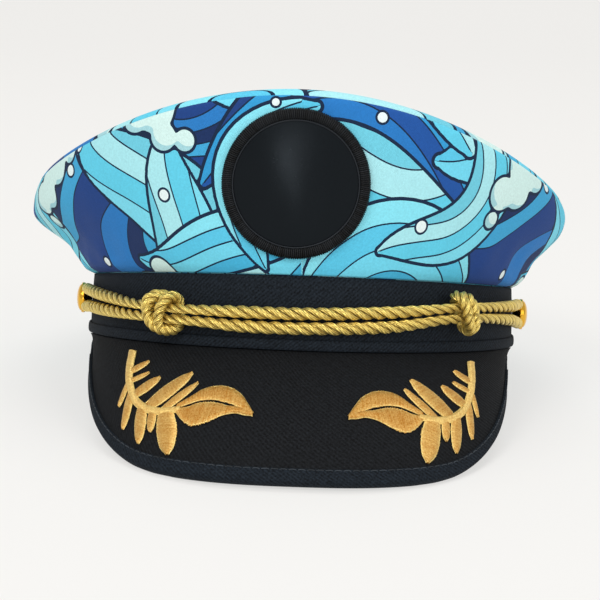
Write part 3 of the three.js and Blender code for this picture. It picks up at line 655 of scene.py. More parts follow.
def ribbon_fields(p):
    """Each layer of ribbons, and how far its points lie from the nearest edge within it."""
    fields, edges = {}, []
    for number, rows in enumerate(RIBBONS, 1):
        whole = ribbon_field(p, *rows[0])
        edge = np.abs(whole[:, 0])
        for row in rows[1:]:
            one = ribbon_field(p, *row)
            outside = one[:, 0]
            edge = np.where(outside < 0, -outside, np.minimum(edge, outside))
            over = (outside < 0) | (outside < whole[:, 0]) & (whole[:, 0] > 0)
            whole = np.where(over[:, None], one, whole)
        fields[f"ribbon_{number}"] = whole
        edges.append(edge)
    fields["ribbon_edges"] = np.stack(edges, -1)
    return fields


def outside_circle(p, middle, radius):
    q = wrapped(p - middle)
    return np.hypot(q[:, 0], q[:, 1]) - radius


def puff_field(p, x, y, heading, reach, lobes, size):
    """Distance outside a puff of round lobes, large in its middle, and outside its light part."""
    t = math.radians(heading)
    puff = light = np.full(len(p), FAR_AWAY)
    for i in range(lobes):
        f = i / (lobes - 1)
        rise = math.sin(math.pi * f)
        side = LOBE_SIDE * size * (1 if i % 2 else -1)
        radius = size * (LOBE_SIZE + LOBE_SWELL * rise) * (1 if i % 2 else LOBE_ODD)
        middle = np.array([x + reach * f * math.cos(t) - side * math.sin(t), y + PUFF_RISE * rise])
        middle[1] += reach * f * math.sin(t) + side * math.cos(t)
        puff = smooth_least(puff, outside_circle(p, middle, radius), LOBE_BLEND)
        light = smooth_least(light, outside_circle(p, middle + PUFF_SHADE, radius), LOBE_BLEND)
    return puff, light


def flow_field(p):
    """A smooth field whose level bands make the ground, and how steep it is."""
    s, t = (ROUND * p / TILE).T
    (a, b, c), (bend, curl) = FLOW_WAVES, FLOW_BENDS
    first, second, third = s + bend * np.sin(t), t + curl * np.sin(2 * s), 3 * s - 2 * t
    flow = a * np.sin(first) + b * np.sin(second) + c * np.sin(third)
    cos_first, cos_second, cos_third = np.cos(first), np.cos(second), np.cos(third)
    along_s = a * cos_first + 2 * b * curl * np.cos(2 * s) * cos_second + 3 * c * cos_third
    along_t = a * bend * np.cos(t) * cos_first + b * cos_second - 2 * c * cos_third
    steep = np.hypot(along_s * ROUND / TILE[0], along_t * ROUND / TILE[1])
    return np.stack([flow, np.maximum(steep, FLOW_STEEP), 0 * flow], -1)


def print_fields(p):
    """The motifs at points p (n, 2) of the flat cloth in mm, as attributes for the shader."""
    p = p.astype(np.float32)
    cloud = shade = bubble = np.full(len(p), FAR_AWAY)
    for row in CLOUDS:
        puff, light = puff_field(p, *row)
        near = puff < cloud
        cloud, shade = np.where(near, puff, cloud), np.where(near, light, shade)
    for x, y, radius in BUBBLES:
        bubble = np.minimum(bubble, outside_circle(p, [x, y], radius))
    motifs = {"cloud": np.stack([cloud, shade, bubble], -1), "flow": flow_field(p)}
    return ribbon_fields(p) | motifs


# ---------------------------------------------------------------- node trees


def add(tree, kind, *inputs, out=0, **settings):
    """Adds a node. Its inputs stand in the node's own order, or in a dictionary by name or
    number; each is another node's output or a value. Gives one output, or all if out is None."""
    node = tree.nodes.new(kind)
    for name, value in settings.items():
        setattr(node, name, value)
    by_name = inputs and isinstance(inputs[0], dict)
    for key, value in inputs[0].items() if by_name else enumerate(inputs):
        if isinstance(value, bpy.types.NodeSocket):
            tree.links.new(value, node.inputs[key])
        else:
            node.inputs[key].default_value = value
    return node.outputs if out is None else node.outputs[out]


def srgb(code):
    """A colour written as #RRGGBB, as the linear values that the shaders take."""
    channels = [int(code[i : i + 2], 16) / 255 for i in (1, 3, 5)]
    return [c / 12.92 if c <= 0.04045 else ((c + 0.055) / 1.055) ** 2.4 for c in channels] + [1]


def shader(name, colour, roughness, **sockets):
    """A material with one Principled surface, and the sockets that are the same all over it."""
    material = bpy.data.materials.new(name)
    material.use_nodes = True
    tree = material.node_tree
    surface = tree.nodes["Principled BSDF"]
    surface.inputs["Base Color"].default_value = srgb(colour)
    surface.inputs["Roughness"].default_value = roughness
    for key, value in sockets.items():
        surface.inputs[key.replace("_", " ").title().replace("Ior", "IOR")].default_value = value
    return material, tree, surface


def ripple(tree, direction, pitch):
    """A sine across the cloth, its crests `pitch` mm apart along a direction in degrees."""
    cloth = add(tree, "ShaderNodeUVMap", uv_map="cloth")
    rate, way = ROUND / pitch, math.radians(direction)
    heading = (rate * math.cos(way), rate * math.sin(way), 0)
    place = add(tree, "ShaderNodeVectorMath", cloth, heading, operation="DOT_PRODUCT", out="Value")
    return add(tree, "ShaderNodeMath", place, operation="SINE")


def speckle(tree, size, detail=2.0):
    """Noise whose grain is `size` mm, from 0 to 1."""
    place = add(tree, "ShaderNodeTexCoord", out="Object")
    inputs = {"Vector": place, "Scale": 1000 / size, "Detail": detail}
    return add(tree, "ShaderNodeTexNoise", inputs, out="Fac")


def raise_by(tree, surface, height, distance):
    """Relief in the surface: a height from 0 to 1 stands this many mm out."""
    bump = add(tree, "ShaderNodeBump", {"Height": height, "Distance": distance / 1000})
    tree.links.new(bump, surface.inputs["Normal"])


def shade_between(tree, surface, share, darker, lighter):
    """Colours the surface from darker to lighter as the share goes from 0 to 1."""
    ends = {0: share, 6: srgb(darker), 7: srgb(lighter)}
    shade = add(tree, "ShaderNodeMix", ends, data_type="RGBA", out=2)
    tree.links.new(shade, surface.inputs["Base Color"])


def bands(tree, place, colours):
    """Equal steps of these colours from 0 to 1."""
    colour = add(tree, "ShaderNodeValToRGB", place)
    ramp = colour.node.color_ramp
    ramp.interpolation = "CONSTANT"
    while len(ramp.elements) < len(colours):
        ramp.elements.new(0.5)
    for i, code in enumerate(colours):
        ramp.elements[i].position = i / len(colours)
        ramp.elements[i].color = srgb(code)
    return colour


# ---------------------------------------------------------------- materials

NAVY = "#112540"
CLOUD_SHADE, CLOUD_LIGHT, BUBBLE = "#9CCBD2", "#C9E5E1", "#DCEAEA"
STRIPES = [
    "#42ABD2", "#6CCCE4", "#56BEDE", "#82D8E8",
    "#77D0E4", "#5DC5DF", "#A2DCE3", "#6AC2D6",
    "#2472B8", "#1C4F98", "#2F92C8", "#1B3C78",
]  # fmt: skip
GROUND = ["#1A3D7C", "#2674B8", "#162C58", "#3C9ECC"]
# half widths of the navy lines in mm: between the bands of the ground and between stripes,
# round a ribbon, where ribbons of one layer meet, round a cloud and round a bubble
GROUND_LINE, STRIPE_LINE, RIBBON_LINE, MEETING_LINE = 0.3, 0.32, 0.6, 0.7
CLOUD_LINE, BUBBLE_LINE = 0.6, 0.45
DRAWN_WEAVE = 0.7
DRAWN_RIB = 1.2
RIB_DIRECTION = -52
GLINT_SIZE = 0.6


def printed_polyester():
    """Plain woven polyester with a dye-sublimated print: flat bright colours with crisp navy
    outlines on a matt cloth whose fine weave just shows. Its threads are 0.35 mm apart in the
    real cloth and drawn 0.7 mm apart, so that they show."""
    material, tree, surface = shader(
        "printed woven polyester", "#62CDF2", 0.8, specular_ior_level=0.2, sheen_weight=0.03
    )

    def field(name):
        vector = add(tree, "ShaderNodeAttribute", attribute_name=name, out="Vector")
        return add(tree, "ShaderNodeSeparateXYZ", vector, out=None)

    def painted(under, over, outside, limit=0.0):
        """The second colour over the first, where the distance outside is below the limit."""
        under, over = (srgb(c) if isinstance(c, str) else c for c in (under, over))
        where = add(tree, "ShaderNodeMath", outside, limit, operation="LESS_THAN")
        return add(tree, "ShaderNodeMix", {0: where, 6: under, 7: over}, data_type="RGBA", out=2)

    def outlined(colour, outside, line):
        distance = add(tree, "ShaderNodeMath", outside, operation="ABSOLUTE")
        return painted(colour, NAVY, distance, line)

    flow, steep, _ = field("flow")
    turns = add(tree, "ShaderNodeMath", flow, FLOW_BAND * len(GROUND), operation="DIVIDE")
    turn = add(tree, "ShaderNodeMath", turns, operation="FRACT")
    rise = add(tree, "ShaderNodeMath", flow, FLOW_BAND / 2, operation="PINGPONG")
    edge = add(tree, "ShaderNodeMath", rise, steep, operation="DIVIDE")
    colour = painted(bands(tree, turn, GROUND), NAVY, edge, GROUND_LINE)
    for number, meeting in enumerate(field("ribbon_edges"), 1):
        outside, place, half = field(f"ribbon_{number}")
        # the place runs from -1 to 1 across a ribbon, and on by 2 for each family of colours
        along_all = add(tree, "ShaderNodeMath", place, 1.0, operation="ADD")
        share = add(tree, "ShaderNodeMath", along_all, len(STRIPES) / 2, operation="DIVIDE")
        within = add(tree, "ShaderNodeMath", place, 0.25, operation="PINGPONG")
        line = add(tree, "ShaderNodeMath", within, half, operation="MULTIPLY")
        stripe = painted(bands(tree, share, STRIPES), NAVY, line, STRIPE_LINE)
        colour = outlined(painted(colour, stripe, outside), outside, RIBBON_LINE)
        colour = painted(colour, NAVY, meeting, MEETING_LINE)
    cloud, shade, bubble = field("cloud")
    puff = painted(CLOUD_SHADE, CLOUD_LIGHT, shade)
    colour = outlined(painted(colour, puff, cloud), cloud, CLOUD_LINE)
    colour = outlined(painted(colour, BUBBLE, bubble), bubble, BUBBLE_LINE)
    grain = speckle(tree, 0.8)
    fluff = add(tree, "ShaderNodeMath", grain, 0.3, 0.85, operation="MULTIPLY_ADD")
    printed = add(tree, "ShaderNodeHueSaturation", {"Color": colour, "Value": fluff})
    tree.links.new(printed, surface.inputs["Base Color"])
    warp, weft = ripple(tree, 0, DRAWN_WEAVE), ripple(tree, 90, DRAWN_WEAVE)
    raise_by(tree, surface, add(tree, "ShaderNodeMath", warp, weft, operation="MULTIPLY"), 0.035)
    return material


def black_twill(name, colour, lighter):
    """Cotton twill: matt and near black, with fine diagonal ribs and a little grey fluff. Its
    ribs are 0.9 mm apart in the real cloth and drawn 1.2 mm apart, so that they show."""
    material, tree, surface = shader(name, colour, 0.8, specular_ior_level=0.1)
    rib = ripple(tree, RIB_DIRECTION, DRAWN_RIB)
    pick = ripple(tree, RIB_DIRECTION + 90, 0.75 * DRAWN_RIB)
    ribs = add(tree, "ShaderNodeMath", rib, 0.17, -0.55, operation="MULTIPLY_ADD")
    fluff = add(tree, "ShaderNodeMath", speckle(tree, 0.7, 4.0), 2.1, operation="MULTIPLY")
    share = add(tree, "ShaderNodeMath", ribs, fluff, operation="ADD")
    shade_between(tree, surface, share, colour, lighter)
    picks = add(tree, "ShaderNodeMath", pick, 0.35, rib, operation="MULTIPLY_ADD")
    raise_by(tree, surface, picks, 0.045)
    return material


def patch_leather():
    """Smooth dyed leather: blue-black, with a soft sheen and a faint grain 0.6 mm wide."""
    tint = srgb("#D2E2EE")
    material, tree, surface = shader(
        "smooth black leather", "#05070A", 0.3, specular_ior_level=0.2, specular_tint=tint
    )
    grain = speckle(tree, 0.6, 3.0)
    sheen = add(tree, "ShaderNodeMath", grain, 0.12, 0.24, operation="MULTIPLY_ADD")
    tree.links.new(sheen, surface.inputs["Roughness"])
    raise_by(tree, surface, grain, 0.02)
    return material


def thread_material(name, colour, lighter, roughness, metallic, yarns=0, glint=0.0, **sockets):
    """Thread: each strand a little lighter or darker, with painted glints 0.6 mm wide if it is
    bright. A ply of several yarns also shows them as fine ridges about 1 mm apart, winding round
    it, painted lighter on their tops and darker in the furrows between them."""
    material, tree, surface = shader(name, colour, roughness, metallic=metallic, **sockets)
    tone = add(tree, "ShaderNodeAttribute", attribute_name="tone", out="Fac")
    # painted glints: noise that lightens and darkens the colour in spots
    if glint:
        ends = (speckle(tree, GLINT_SIZE), 2 * glint, -glint)
        spark = add(tree, "ShaderNodeMath", *ends, operation="MULTIPLY_ADD")
        tone = add(tree, "ShaderNodeMath", tone, spark, operation="ADD")
    if yarns:
        place = add(tree, "ShaderNodeAttribute", attribute_name="round", out="Vector")
        x, y, _ = add(tree, "ShaderNodeSeparateXYZ", place, out=None)
        angle = add(tree, "ShaderNodeMath", y, x, operation="ARCTAN2")
        run = add(tree, "ShaderNodeAttribute", attribute_name="run", out="Fac")
        rate = yarns * ROUND * 1000 / TWIST_PITCH
        twist = add(tree, "ShaderNodeMath", run, rate, operation="MULTIPLY")
        turned = add(tree, "ShaderNodeMath", angle, float(yarns), operation="MULTIPLY")
        phase = add(tree, "ShaderNodeMath", turned, twist, operation="SUBTRACT")
        filament = add(tree, "ShaderNodeMath", phase, operation="SINE")
        # painted shade in the furrows between the yarns, painted light on their tops
        tone = add(tree, "ShaderNodeMath", filament, 0.16, tone, operation="MULTIPLY_ADD")
        raise_by(tree, surface, filament, 0.12)
    shade_between(tree, surface, tone, colour, lighter)
    return material


def gilt():
    """Polished gilt brass: a bright warm yellow mirror, very slightly brushed."""
    material, tree, surface = shader("polished gilt brass", "#E8B23A", 0.16, metallic=1.0)
    raise_by(tree, surface, speckle(tree, 1.2), 0.01)
    return material


PRINTED = printed_polyester()
BAND_CLOTH = black_twill("black cotton twill", "#080A0D", "#222931")
PEAK_CLOTH = black_twill("black twill on a stiff core", "#070708", "#1E2023")
LEATHER = patch_leather()
BORDER_THREAD = thread_material(
    "black overlock thread", "#030405", "#1D2126", 0.45, 0.0, specular_ior_level=0.2
)
SEWING_THREAD = thread_material(
    "dark grey sewing thread", "#1B2025", "#303840", 0.5, 0.0, specular_ior_level=0.3
)
GOLD_CORD = thread_material("gold metallic yarn", "#5C3A08", "#FFE27C", 0.32, 0.7, 7, 0.35)
GOLD_THREAD = thread_material("gold rayon thread", "#B8760A", "#FBE391", 0.4, 0.5, 0, 0.5)
GILT = gilt()

# ---------------------------------------------------------------- threads along paths


def thread_tree():
    """Round threads along the edges of a mesh, with its `thickness` as radius. Each is marked
    with the length `run` and the place `round` it, for the fine filaments, and its `tone` is
    raised on the side that faces a way given with each point and lowered on the other: painted
    light and painted shade."""
    tree = bpy.data.node_groups.new("threads along paths", "GeometryNodeTree")
    face = tree.interface
    face.new_socket("Paths", in_out="INPUT", socket_type="NodeSocketGeometry")
    sides = face.new_socket("Sides", in_out="INPUT", socket_type="NodeSocketInt")
    finish = face.new_socket("Material", in_out="INPUT", socket_type="NodeSocketMaterial")
    face.new_socket("Threads", in_out="OUTPUT", socket_type="NodeSocketGeometry")
    start = add(tree, "NodeGroupInput", out=None)
    marked = add(
        tree,
        "GeometryNodeStoreNamedAttribute",
        {
            "Geometry": add(tree, "GeometryNodeMeshToCurve", start["Paths"]),
            "Name": "run",
            "Value": add(tree, "GeometryNodeSplineParameter", out="Length"),
        },
        data_type="FLOAT",
        domain="POINT",
    )
    circle = {"Resolution": start["Sides"], "Radius": 1.0}
    profile = add(
        tree,
        "GeometryNodeStoreNamedAttribute",
        {
            "Geometry": add(tree, "GeometryNodeCurvePrimitiveCircle", circle),
            "Name": "round",
            "Value": add(tree, "GeometryNodeInputPosition"),
        },
        data_type="FLOAT_VECTOR",
        domain="POINT",
    )
    radius, tone, painted_light_way = (
        add(tree, "GeometryNodeInputNamedAttribute", {"Name": name}, data_type=kind)
        for name, kind in (("thickness", "FLOAT"), ("tone", "FLOAT"), ("painted_light_way", "FLOAT_VECTOR"))
    )
    sweep = {"Curve": marked, "Profile Curve": profile, "Scale": radius, "Fill Caps": True}
    normal = add(tree, "GeometryNodeInputNormal")
    # painted light and shade: the tone goes up on the side that faces the given way, down on the
    # other
    rise = add(tree, "ShaderNodeVectorMath", painted_light_way, normal, operation="DOT_PRODUCT", out="Value")
    toned = add(
        tree,
        "GeometryNodeStoreNamedAttribute",
        {
            "Geometry": add(tree, "GeometryNodeCurveToMesh", sweep),
            "Name": "tone",
            "Value": add(tree, "ShaderNodeMath", tone, rise, operation="ADD"),
        },
        data_type="FLOAT",
        domain="POINT",
    )
    smooth = add(tree, "GeometryNodeSetShadeSmooth", toned)
    whole = add(tree, "GeometryNodeRealizeInstances", smooth)
    finished = {"Geometry": whole, "Material": start["Material"]}
    done = add(tree, "GeometryNodeSetMaterial", finished)
    add(tree, "NodeGroupOutput", done, out=None)
    return tree, sides.identifier, finish.identifier


THREADS, SIDES, FINISH = thread_tree()


def threads(name, paths, sides, material):
    """One object of many threads. A path is its points (n, 3) and radii in mm, its tone from 0
    to 1, the way its painted lit side faces times how much lighter it is painted there (with
    painted shade on the far side), and whether it closes on itself."""
    places, radii, tones, painted_light_ways, edges = [], [], [], [], []
    for points, radius, tone, painted_light_way, closed in paths:
        first, n = len(radii), len(points)
        places.append(at_rest(points))
        radii.extend(np.broadcast_to(radius, n) / 1000)
        tones.extend(np.broadcast_to(tone, n))
        painted_light_ways.append(np.broadcast_to(painted_light_way, (n, 3)))
        edges.extend((first + k, first + (k + 1) % n) for k in range(n if closed else n - 1))
    mesh = bpy.data.meshes.new(name)
    mesh.from_pydata(np.concatenate(places).tolist(), edges, [])
    for key, values in (("thickness", radii), ("tone", tones)):
        mesh.attributes.new(key, "FLOAT", "POINT").data.foreach_set("value", values)
    painted_light_way = mesh.attributes.new("painted_light_way", "FLOAT_VECTOR", "POINT")
    painted_light_way.data.foreach_set("vector", np.concatenate(painted_light_ways).ravel().astype(np.float32))
    piece = link(name, mesh)
    modifier = piece.modifiers.new("threads", "NODES")
    modifier.node_group = THREADS
    modifier[SIDES] = sides
    modifier[FINISH] = material
    bpy.context.view_layer.update()
    graph = bpy.context.evaluated_depsgraph_get()
    made = bpy.data.meshes.new_from_object(piece.evaluated_get(graph))
    piece.modifiers.clear()
    piece.data = made
    bpy.data.meshes.remove(mesh)
    made.name = name
    return piece


def piece_of(mesh, material):
    mesh.materials.append(material)
    return link(mesh.name, mesh)


def joins(piece, slot, *nodes):
    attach(piece, "root")
    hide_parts(*nodes)


# ---------------------------------------------------------------- crown


def azimuths(columns):
    return np.arange(columns) * ROUND / columns


def all_round(cloth):
    """The map of a form that closes on itself both ways: its first row and column come again."""
    cloth = np.concatenate([cloth, cloth[:1]], 0)
    return np.concatenate([cloth, cloth[:, :1]], 1)


def crown_side():
    a = azimuths(840)[:, None]
    ups = np.linspace(0, 1, 96)
    outer = on_crown(a, ups)
    height = np.linalg.norm(np.diff(outer, axis=1), axis=-1)
    t = np.concatenate([0 * a, np.cumsum(height, 1)], 1)
    # the edge turns in where the seam pulls it down
    pull = SEAM_PULL * np.exp(-(t[:, -1:] - t) / SEAM_WIDTH)
    outer = outer - crown_facing(a, ups) * column(pull)
    ups = np.linspace(1, 0, 10)
    inner = on_crown(a, ups) - crown_facing(a, ups) * CROWN_WALL
    sections = np.concatenate([outer, inner], 1)
    flat = np.stack([np.broadcast_to(a * CROWN_HALF_WIDTH, t.shape), t], -1)
    inside = np.repeat(flat[:, -1:], inner.shape[1], 1)
    points = np.concatenate([flat, inside], 1).reshape(-1, 2)
    fields = print_fields((points + PRINT_SHIFT) % TILE)
    run = np.concatenate([a, [[ROUND]]]) * CROWN_HALF_WIDTH
    across = np.concatenate([t.mean(0), t.mean(0)[-1] + 1 + np.linspace(0, 60, inner.shape[1] + 1)])
    cloth = np.stack(np.broadcast_arrays(run, across[None, :]), -1)
    return piece_of(grid_mesh("crown_side_cloth", sections, True, cloth, fields), PRINTED)


def crown_top():
    a = azimuths(720)[:, None]
    rho = 1 - np.linspace(0, 1, 84) ** 1.25  # closer together by the seam
    pull = SEAM_PULL * np.exp(-(1 - rho) * CROWN_HALF_WIDTH / SEAM_WIDTH)
    outer = on_top(a, rho) - outward(a) * column(pull)
    rho = np.linspace(0, 1, 9)
    inner = on_top(a, rho) - [0, 0, CROWN_WALL] - outward(a) * column(rho)
    sections = np.concatenate([outer, inner], 1)
    flat = sections[..., :2]
    fields = print_fields((flat.reshape(-1, 2) + TOP_PRINT_SHIFT) % TILE)
    mesh = grid_mesh("crown_top_cloth", sections, True, all_round(flat), fields, poles=True)
    return piece_of(mesh, PRINTED)


joins(crown_side(), "printed_cloth", "crown_side")
joins(crown_top(), "printed_cloth", "crown_top")

# ---------------------------------------------------------------- band


def ring_of(name, section):
    """A closed ring of twill round the head; section gives [height, off the band] in turn."""
    a = azimuths(480)
    sections = np.stack([on_band(a, z, off) for z, off in section(a)], 1)
    return piece_of(grid_mesh(name, sections, True, cloth_map(sections, True)), BAND_CLOTH)


def band_section(a):
    top = band_height(a)
    rows = [(top * s, BAND_BULGE * np.sin(math.pi * s)) for s in np.linspace(0, 1, 14)]
    return rows + [(top * s, -BAND_WALL) for s in (1, 0.66, 0.33, 0)]


def welt_section(a):
    swings = np.linspace(0, math.pi, 13)
    rows = [
        (WELT_HEIGHT * (1 - math.cos(s)) / 2, GAP + WELT_PROUD * math.sin(s) ** 0.5) for s in swings
    ]
    return rows + [(0.5 * WELT_HEIGHT, 0.5 * GAP)]


joins(ring_of("band_cloth", band_section), "black_twill", "band")
joins(ring_of("welt_cloth", welt_section), "black_twill", "band_welt")

# ---------------------------------------------------------------- peak


def peak_turns(columns):
    """Places along the peak, closer together at its ends, where the rim bends most."""
    t = np.linspace(-1, 1, columns)
    return 0.55 * t + 0.45 * np.sin(math.pi / 2 * t)


def peak():
    turn = peak_turns(241)
    rows = turn[:, None]
    top = on_peak(rows, np.linspace(0, PEAK_END, 40))
    rounding = [
        above_peak(
            turn,
            PEAK_END + 0.02 * math.sin(math.pi * s),
            -PEAK_THICKNESS * (1 - math.cos(math.pi * s)) / 2,
        )
        for s in np.linspace(0.15, 0.85, 5)
    ]
    under = above_peak(rows, np.linspace(PEAK_END, 0, 14), -PEAK_THICKNESS)
    a = PEAK_END_AZIMUTH * turn
    tucked = [on_band(a, z, -BAND_WALL - GAP - depth) for z, depth in TUCK]
    sections = np.concatenate([top, np.stack(rounding, 1), under, np.stack(tucked, 1)], 1)
    mesh = grid_mesh("peak_cover", sections, False, cloth_map(sections, False))
    return piece_of(mesh, PEAK_CLOTH)


def peak_binding():
    """A strip folded over the rim: a soft roll, pulled down where it is sewn at its inner edge."""
    turn = peak_turns(241)
    inner = binding_inner(turn)
    out_way = unit(on_peak(turn, 1.0) - on_peak(turn, 0.9))
    cloth_over = GAP + BINDING_CLOTH
    half = PEAK_THICKNESS / 2

    def raised(s):
        return cloth_over * (0.35 + 0.65 * min(1, s * 4) ** 0.6)

    def round_rim(swing):
        over = above_peak(turn, 1.0, -half + (half + cloth_over) * math.cos(swing))
        return over + out_way * cloth_over * math.sin(swing)

    def strip(shares, over):
        return [above_peak(turn, mix(inner, 1.0, s), over(s)) for s in shares]

    rows = strip(np.linspace(0, 1, 9), raised)
    rows += [round_rim(math.pi * s) for s in np.linspace(0.1, 0.9, 7)]
    rows += strip(np.linspace(1, 0, 9), lambda s: -PEAK_THICKNESS - raised(s))
    rows += strip(np.linspace(0, 1, 4), lambda s: -PEAK_THICKNESS - 0.1)
    rows += strip(np.linspace(1, 0, 4), lambda s: 0.1)
    sections = np.stack(rows, 1)
    mesh = grid_mesh("binding_cloth", sections, False, cloth_map(sections, False))
    return piece_of(mesh, BAND_CLOTH)


def binding_seam():
    """Running stitches along the binding's inner edge."""
    turn = np.linspace(-0.94, 0.94, 1200)
    line = above_peak(turn, binding_inner(turn) + STITCH_INSET, GAP + BINDING_CLOTH + 0.02)
    run = run_along(line)
    stitches = []
    for start in np.arange(0.5, run[-1] - STITCH_LENGTH, STITCH_LENGTH + STITCH_GAP):
        place = read_off(start + np.linspace(0, STITCH_LENGTH, 5), run, line)
        place[[0, -1], 2] -= 0.25
        stitches.append((place, STITCH_THREAD_RADIUS, (start * 0.37) % 1, 0, False))
    return threads("binding_stitches", stitches, 6, SEWING_THREAD)


joins(peak(), "peak_cloth", "peak")
joins(binding_seam(), "black_twill", "peak_binding")
joins(peak_binding(), "black_twill", "peak_binding")

# ---------------------------------------------------------------- patch


def patch_disc():
    angle = azimuths(128)[:, None]
    reach = PATCH_RADIUS - PATCH_BORDER_WIDTH + 0.4
    front, back = np.linspace(1, 0, 26), np.linspace(0, 1, 6)
    domed = 2 * GAP + PATCH_THICKNESS - 0.3 + PATCH_DOME * (1 - front**2)
    radius = np.concatenate([front, back]) * reach
    sections = on_patch(radius, angle, np.concatenate([domed, 2 * GAP + 0 * back]))
    cloth = all_round(np.stack([radius * np.cos(angle), radius * np.sin(angle)], -1))
    return piece_of(grid_mesh("patch_disc", sections, True, cloth, poles=True), LEATHER)


def border_arc(angle, lift, steps):
    """Across the border from its inner edge to its outer one, over a rounded ridge."""
    s = np.linspace(0.0, 1.0, steps)
    middle = PATCH_RADIUS - PATCH_BORDER_WIDTH / 2
    radius = middle - PATCH_BORDER_WIDTH / 2 * np.cos(math.pi * s)
    return on_patch(radius, angle, 2 * GAP + lift * np.sin(math.pi * s) ** 0.8)


def patch_border():
    angles = azimuths(192)
    base = np.stack([border_arc(a, PATCH_BORDER_THICKNESS - 0.5, 12) for a in angles])
    body = piece_of(grid_mesh("border_padding", base, True, cloth_map(base, True)), BORDER_THREAD)
    rng = np.random.default_rng(4)
    stitches = []
    for a in azimuths(BORDER_STITCHES):
        lift = PATCH_BORDER_THICKNESS - 0.35 + rng.uniform(-0.1, 0.05)
        arc = border_arc(a, lift, 9)
        stitches.append((arc, BORDER_THREAD_RADIUS, rng.uniform(0, 0.5), 0, False))
    # the last thread runs round the inner edge
    inner = PATCH_RADIUS - PATCH_BORDER_WIDTH - 0.1
    stitches.append((on_patch(inner, angles, 2 * GAP + PATCH_THICKNESS), 0.32, 1, 0, True))
    return body, threads("border_stitches", stitches, 6, BORDER_THREAD)


joins(patch_disc(), "patch_leather", "patch")
for border in patch_border():
    joins(border, "border_thread", "patch_border")

# ---------------------------------------------------------------- leaf sprays


def strip_edges(line):
    """The two edges of a strip on the peak, from its middle line of [turn, down, width]."""
    turn, down, width = line.T
    before = np.maximum(np.arange(len(line)) - 1, 0)
    after = np.minimum(np.arange(len(line)) + 1, len(line) - 1)
    one_way, other_way = on_peak(turn - 0.01, down), on_peak(turn + 0.01, down)
    turn_length = np.linalg.norm(other_way - one_way, axis=-1) / 0.02
    down_length = np.linalg.norm(on_peak(turn, 1.0) - on_peak(turn, 0.0), axis=-1)
    ahead_turn = (turn[after] - turn[before]) * turn_length
    ahead_down = (down[after] - down[before]) * down_length
    length = np.hypot(ahead_turn, ahead_down)
    turn_step = -ahead_down / length * width / 2 / turn_length
    down_step = ahead_turn / length * width / 2 / down_length
    return (
        np.stack([turn + turn_step, down + down_step], -1),
        np.stack([turn - turn_step, down - down_step], -1),
    )


def satin(one, other, rise, lift, slant, tone, rng):
    """Padding for a strip between two edges [turn, down], and the threads across it."""

    def arch(share):
        return np.sqrt(np.clip(1 - (2 * share - 1) ** 2, 0, 1))

    share = np.linspace(0, 1, 9)
    across = np.moveaxis(mix(one[:, None], other[:, None], column(share)), -1, 0)
    body = above_peak(*across, lift + rise * arch(share) - 0.12)
    base = above_peak(*across, lift - 0.5)[:, ::-1]
    sections = np.concatenate([body, base], 1)
    run = run_along(on_peak(*((one + other) / 2).T))
    stitches = []
    s = np.linspace(0, 1, 7)
    hump = arch(s) ** 0.8
    for at in np.arange(0.15, run[-1], SATIN_PITCH):
        far = np.clip(at + slant, 0, run[-1])
        ends = zip(read_off(at, run, one), read_off(far, run, other))
        over = mix(-rng.uniform(0, 0.07), 1 + rng.uniform(0, 0.07), s)
        turn, down = (mix(a, b, over) for a, b in ends)
        place = above_peak(turn, down, lift + (rise + rng.uniform(-0.07, 0.07)) * hump - 0.1)
        # painted light: the tone falls where the thread arches highest, so the strip looks lighter
        # along its edges
        shade = tone + rng.uniform(-0.1, 0.1) - 0.22 * hump
        stitches.append((place, SATIN_THREAD_RADIUS, shade, 0, False))
    for line in (one, other):
        # the threads along both edges are painted much lighter: a painted highlight
        rim = above_peak(*line.T, lift + 0.02)
        stitches.append((rim, RIM_THREAD_RADIUS, tone + 0.42, 0, False))
    return sections, stitches


def spray(name, side, shift):
    """Padding and threads of one spray: ten leaflets, the stem, and the front leaf's halves."""
    rng = np.random.default_rng(11)

    def turn_at(aside):
        return side * (np.asarray(aside) + shift)

    # each strip's two edges, rise, lift, slant of its threads and tone
    strips = []
    f = np.linspace(0, 1, 40)
    for aside, down, tip_aside, tip_down, width in LEAFLETS:
        widths = along(LEAFLET_OUTLINE, f)[:, 0] * width * LEAF_WIDTH
        line = [turn_at(mix(aside, tip_aside, f)), mix(down, tip_down, f), widths]
        strips.append((*strip_edges(np.stack(line, -1)), 0.75, 0.35, 1.4, 0.54))
    knots = np.arange(len(STEM)) / (len(STEM) - 1)
    aside, down, width = along([(k, *row) for k, row in zip(knots, STEM)], np.linspace(0, 1, 60)).T
    line = [turn_at(aside), down, width * LEAF_WIDTH]
    strips.append((*strip_edges(np.stack(line, -1)), 0.95, 0.5, 0.6, 0.8))
    at = np.linspace(0, 7, 70)
    aside, upper, vein, lower = along(FRONT_LEAF, at).T
    slit = VEIN_WIDTH / 2 / PEAK_DROP * np.clip(np.minimum(at, VEIN_END - at), -1, 1)
    for edge, middle in ((upper, vein - slit), (lower, vein + slit)):
        edges = [np.stack([turn_at(aside), down], -1) for down in (edge, middle)]
        strips.append((*edges, 0.85, 0.4, 0.9, 0.42))
    meshes, stitches = [], []
    for i, (one, other, rise, lift, slant, tone) in enumerate(strips):
        sections, sewn = satin(one, other, rise, lift + 0.03 * (i % 3), slant, tone, rng)
        meshes.append(grid_mesh(f"{name}_strip_{i}", sections, False, cloth_map(sections, False)))
        stitches.extend(sewn)
    padding = joined(f"{name}_padding", [piece_of(mesh, GOLD_THREAD) for mesh in meshes])
    return padding, threads(f"{name}_stitches", stitches, 6, GOLD_THREAD)


def joined(name, pieces):
    with bpy.context.temp_override(
        active_object=pieces[0], selected_editable_objects=pieces, selected_objects=pieces
    ):
        bpy.ops.object.join()
    pieces[0].name = name
    return pieces[0]


for name, side, shift in SPRAYS:
    for part in spray(name, side, shift):
        joins(part, "gold_thread", name)

# ---------------------------------------------------------------- cord, knots and buttons


